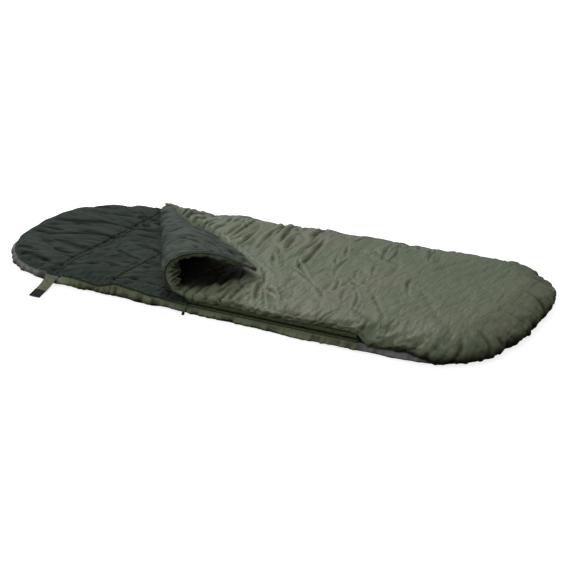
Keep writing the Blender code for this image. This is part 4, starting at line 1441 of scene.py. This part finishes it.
def build_tab():
    """The strap with its hook tape, hemmed and stitched, lying out from the bag's side."""
    path = catmull(TAB_PATH, np.linspace(0, 1, 90))
    tangent = np.gradient(path, axis=0)
    tangent = unit(tangent)
    across = np.tile(SIDEWAYS, (len(path), 1))
    up = np.cross(across, -tangent)
    up *= np.sign(up[:, 2])[:, None]
    up = unit(up)
    run = distances(path)
    cols = np.linspace(-0.5, 0.5, 25)

    def ribbon(name, first, width, low, high):
        chosen = run >= first
        p, u = path[chosen][:, None], up[chosen][:, None]
        edge = (np.abs(cols) * 2)[None, :, None]
        cup = 0.0010 * edge ** 2 + 0.0004 * np.sin(run[chosen] * 70)[:, None, None]
        body = p + SIDEWAYS * (cols * width)[None, :, None] + u * cup
        round_off = 0.00035 * edge ** 8
        return slab(name, body + u * (high - round_off), body + u * (low + round_off))

    strap = ribbon("tab_webbing", 0.0, TAB_WIDE, -0.0009, 0.0009)
    finish_piece(strap, "webbing", "webbing", "tab", "tab_strap")
    first = run[-1] - HOOK_LONG
    patch = ribbon("tab_hooks", first, TAB_WIDE - 0.0015, 0.0010, 0.0024)
    finish_piece(patch, "hook", "hook_tape", "tab", "tab_hook_patch")

    def on_top(distance, offset, lift):
        place, rise = (plan(*(np.interp(distance, run, v[:, i]) for i in range(3)))
                       for v in (path, up))
        height = lift + 0.0010 * (2 * np.abs(offset) / TAB_WIDE) ** 2
        height = height + 0.0004 * np.sin(distance * 70)
        return place + rise * height[:, None] + SIDEWAYS * offset[:, None], rise

    rows, edge, last = [], TAB_WIDE / 2 - 0.0035, run[-1] - 0.0030
    for offset in (-edge, edge):
        distance = np.linspace(first + 0.003, last, 80)
        rows.append(on_top(distance, distance * 0 + offset, 0.0025))
    for distance, lift in ((first + 0.003, 0.0025), (last, 0.0025),
                           (0.010, 0.0010), (0.016, 0.0010)):
        offset = np.linspace(-edge, edge, 60)
        rows.append(on_top(offset * 0 + distance, offset, lift))
    stitches("tab_stitches", rows, "tab", thick=0.0006, length=0.0022, pitch=0.0032)


def build_pull():
    """The pull's webbing, doubled over the ring and stitched across."""
    ring, tip, strap = (sum(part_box("pull_" + n), Vector()) / 2 for n in ("ring", "tip", "webbing"))
    way = np.array((tip - ring).normalized())
    centre = np.array(strap) - (0, CENTRE_Y, 0)
    out = np.cross(SIDEWAYS, way)
    places = np.linspace(-0.0114, 0.0114, 24)
    scale = 1 - 0.10 * bell(places + 0.004, 0.003)
    rings = along_path(centre + way * places[:, None], np.tile(SIDEWAYS, (24, 1)),
                       np.tile(out, (24, 1)), section("flat", 0.0078, 0.0027, 16), scale)
    finish_piece(sweep("pull_strap", rings), "binding", "webbing", "puller", "pull_webbing")


def build_patch(skin):
    """The loop tape on the flap's outer cloth, at its corner."""
    surface = surface_of(skin)
    grid_s, grid_t = np.meshgrid(np.linspace(0.84, 0.93, 26), np.linspace(0.93, 0.985, 18))
    s, t = grid_s.ravel(), grid_t.ravel()
    guess = fold_place(s, t) - fold_normal(s, t) * sheet_depth(t, s)[:, None]
    outer, inner = [], []
    for p in guess:
        place, normal, _, _ = surface.find_nearest(Vector(p))
        outer.append(tuple(place + normal * 0.0016))
        inner.append(tuple(place - normal * 0.0004))
    shape = (18, 26, 3)
    patch = slab("loop_patch", np.array(outer).reshape(shape), np.array(inner).reshape(shape))
    finish_piece(patch, "hook", "hook_tape", "flap", "flap_loop_patch")


def build_bartack():
    """Close vertical stitches that tie the cover to the base at its far corner."""
    low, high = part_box("far_corner_bartack")
    rows = []
    for k, x in enumerate(np.linspace(low.x + 0.0012, high.x - 0.0012, 8)):
        z = np.linspace(low.z, high.z, 14)
        y = (low.y + high.y) / 2 - CENTRE_Y + 0.0026 + 0.0006 * (-1) ** k
        y = y + 0.0008 * np.sin(z * 500)
        rows.append((np.column_stack([x + 0 * z, y, z]), np.tile((0.0, 1.0, 0.0), (14, 1))))
    stitches("corner_bartack", rows, "bag", "far_corner_bartack",
             thick=0.0015, length=0.0105, pitch=0.0118)


# --- Stage, light and camera ---
FLOOR_GLOW = 0.80
AMBIENT = 0.34
LAMPS = (("key", (-1.9, 1.5, 2.6), 70, 1.6), ("top", (0.8, 0.6, 3.4), 26, 2.6),
         ("fill", (-2.2, -2.8, 1.6), 22, 1.8), ("front", (0.3, -3.8, 2.0), 30, 2.0))


def build_stage():
    mesh = bpy.data.meshes.new("floor")
    size = 40
    corners = [(-size, -size, 0), (size, -size, 0), (size, size, 0), (-size, size, 0)]
    mesh.from_pydata(corners, [], [(0, 1, 2, 3)])
    floor = bpy.data.objects.new("floor", mesh)
    bpy.context.scene.collection.objects.link(floor)
    floor.location.z = -0.0005
    # The floor shows as plain white, and throws no light back up under the bag.
    floor.visible_diffuse = False
    floor.visible_glossy = False
    n = Nodes("floor_pale")
    n.set(Base_Color=(0.55, 0.55, 0.55, 1), Roughness=0.95, Specular_IOR_Level=0.0,
          Emission_Color=(1, 1, 1, 1), Emission_Strength=FLOOR_GLOW)
    mesh.materials.append(n.material)
    floor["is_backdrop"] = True

    world = bpy.data.worlds.new("studio")
    world.use_nodes = True
    tree = world.node_tree
    sky = tree.nodes["Background"]
    sky.inputs["Strength"].default_value = AMBIENT
    # A sky that is white above and dark below the level of the floor.
    coords = tree.nodes.new("ShaderNodeTexCoord")
    height = tree.nodes.new("ShaderNodeSeparateXYZ")
    ramp = tree.nodes.new("ShaderNodeValToRGB")
    tree.links.new(coords.outputs["Generated"], height.inputs[0])
    tree.links.new(height.outputs["Z"], ramp.inputs["Fac"])
    tree.links.new(ramp.outputs["Color"], sky.inputs["Color"])
    ramp.color_ramp.elements[0].color = (0.06, 0.06, 0.06, 1)
    ramp.color_ramp.elements[1].position = 0.10
    bpy.context.scene.world = world

    for name, place, power, side in LAMPS:
        light = bpy.data.lights.new(name, "AREA")
        light.energy = power
        light.size = side
        lamp = bpy.data.objects.new(name, light)
        lamp.location = place
        lamp.rotation_mode = "QUATERNION"
        lamp.rotation_quaternion = (Vector((0.1, 0, 0)) - Vector(place)).to_track_quat("-Z", "Y")
        bpy.context.scene.collection.objects.link(lamp)


CAMERA_AZIMUTH, CAMERA_ELEVATION, CAMERA_ROLL = 30.06, 21.6, -0.63     # degrees
CAMERA_TARGET = (0.144, -0.085 + CENTRE_Y, 0.032)
CAMERA_DISTANCE, CAMERA_LENS = 5.643, 96.0


def build_camera():
    camera = bpy.data.objects.new("camera", bpy.data.cameras.new("camera"))
    bpy.context.scene.collection.objects.link(camera)
    azimuth, elevation = math.radians(CAMERA_AZIMUTH), math.radians(CAMERA_ELEVATION)
    back = Vector((math.sin(azimuth) * math.cos(elevation),
                   -math.cos(azimuth) * math.cos(elevation), math.sin(elevation)))
    camera.location = Vector(CAMERA_TARGET) + back * CAMERA_DISTANCE
    camera.rotation_mode = "QUATERNION"
    roll = Quaternion((0, 0, 1), math.radians(CAMERA_ROLL))
    camera.rotation_quaternion = (-back).to_track_quat("-Z", "Y") @ roll
    camera.data.lens = CAMERA_LENS
    camera.data.sensor_width = 36.0
    camera.data.clip_end = 100
    bpy.context.scene.camera = camera


fleeces = build_base()
build_quilt_stitches([surface_of(piece) for piece in fleeces])
build_base_wall()
pieces = build_cover()
finish_piece(pieces["cover_skin"], "shell", "shell_olive", "bag",
             "cover_shell", "cover_batting", "far_gusset", "foot_gusset")
finish_piece(pieces["cover_underside"], "fleece", "lining_slate", "bag", "cover_lining")
finish_piece(pieces["fold_skin"], "shell", "shell_olive", "fold",
             "roll_shell", "flap_shell", "roll_batting", "flap_batting")
finish_piece(pieces["fold_fleece"], "fleece", "lining_slate", "fold",
             "roll_lining", "flap_lining")
build_zip()
build_mouth_trims()
build_binding()
build_tab()
build_pull()
build_patch(pieces["fold_skin"])
build_bartack()

for node, look in {
    "zip_end_stop": "coil", "zip_top_stop": "coil", "slider_body": "metal",
    "slider_bail": "metal", "pull_ring": "metal", "pull_tip": "rubber",
}.items():
    wear(frame["nodes"][node], look)

build_stage()
build_camera()
bpy.context.scene.view_settings.view_transform = "Standard"

low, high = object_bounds()
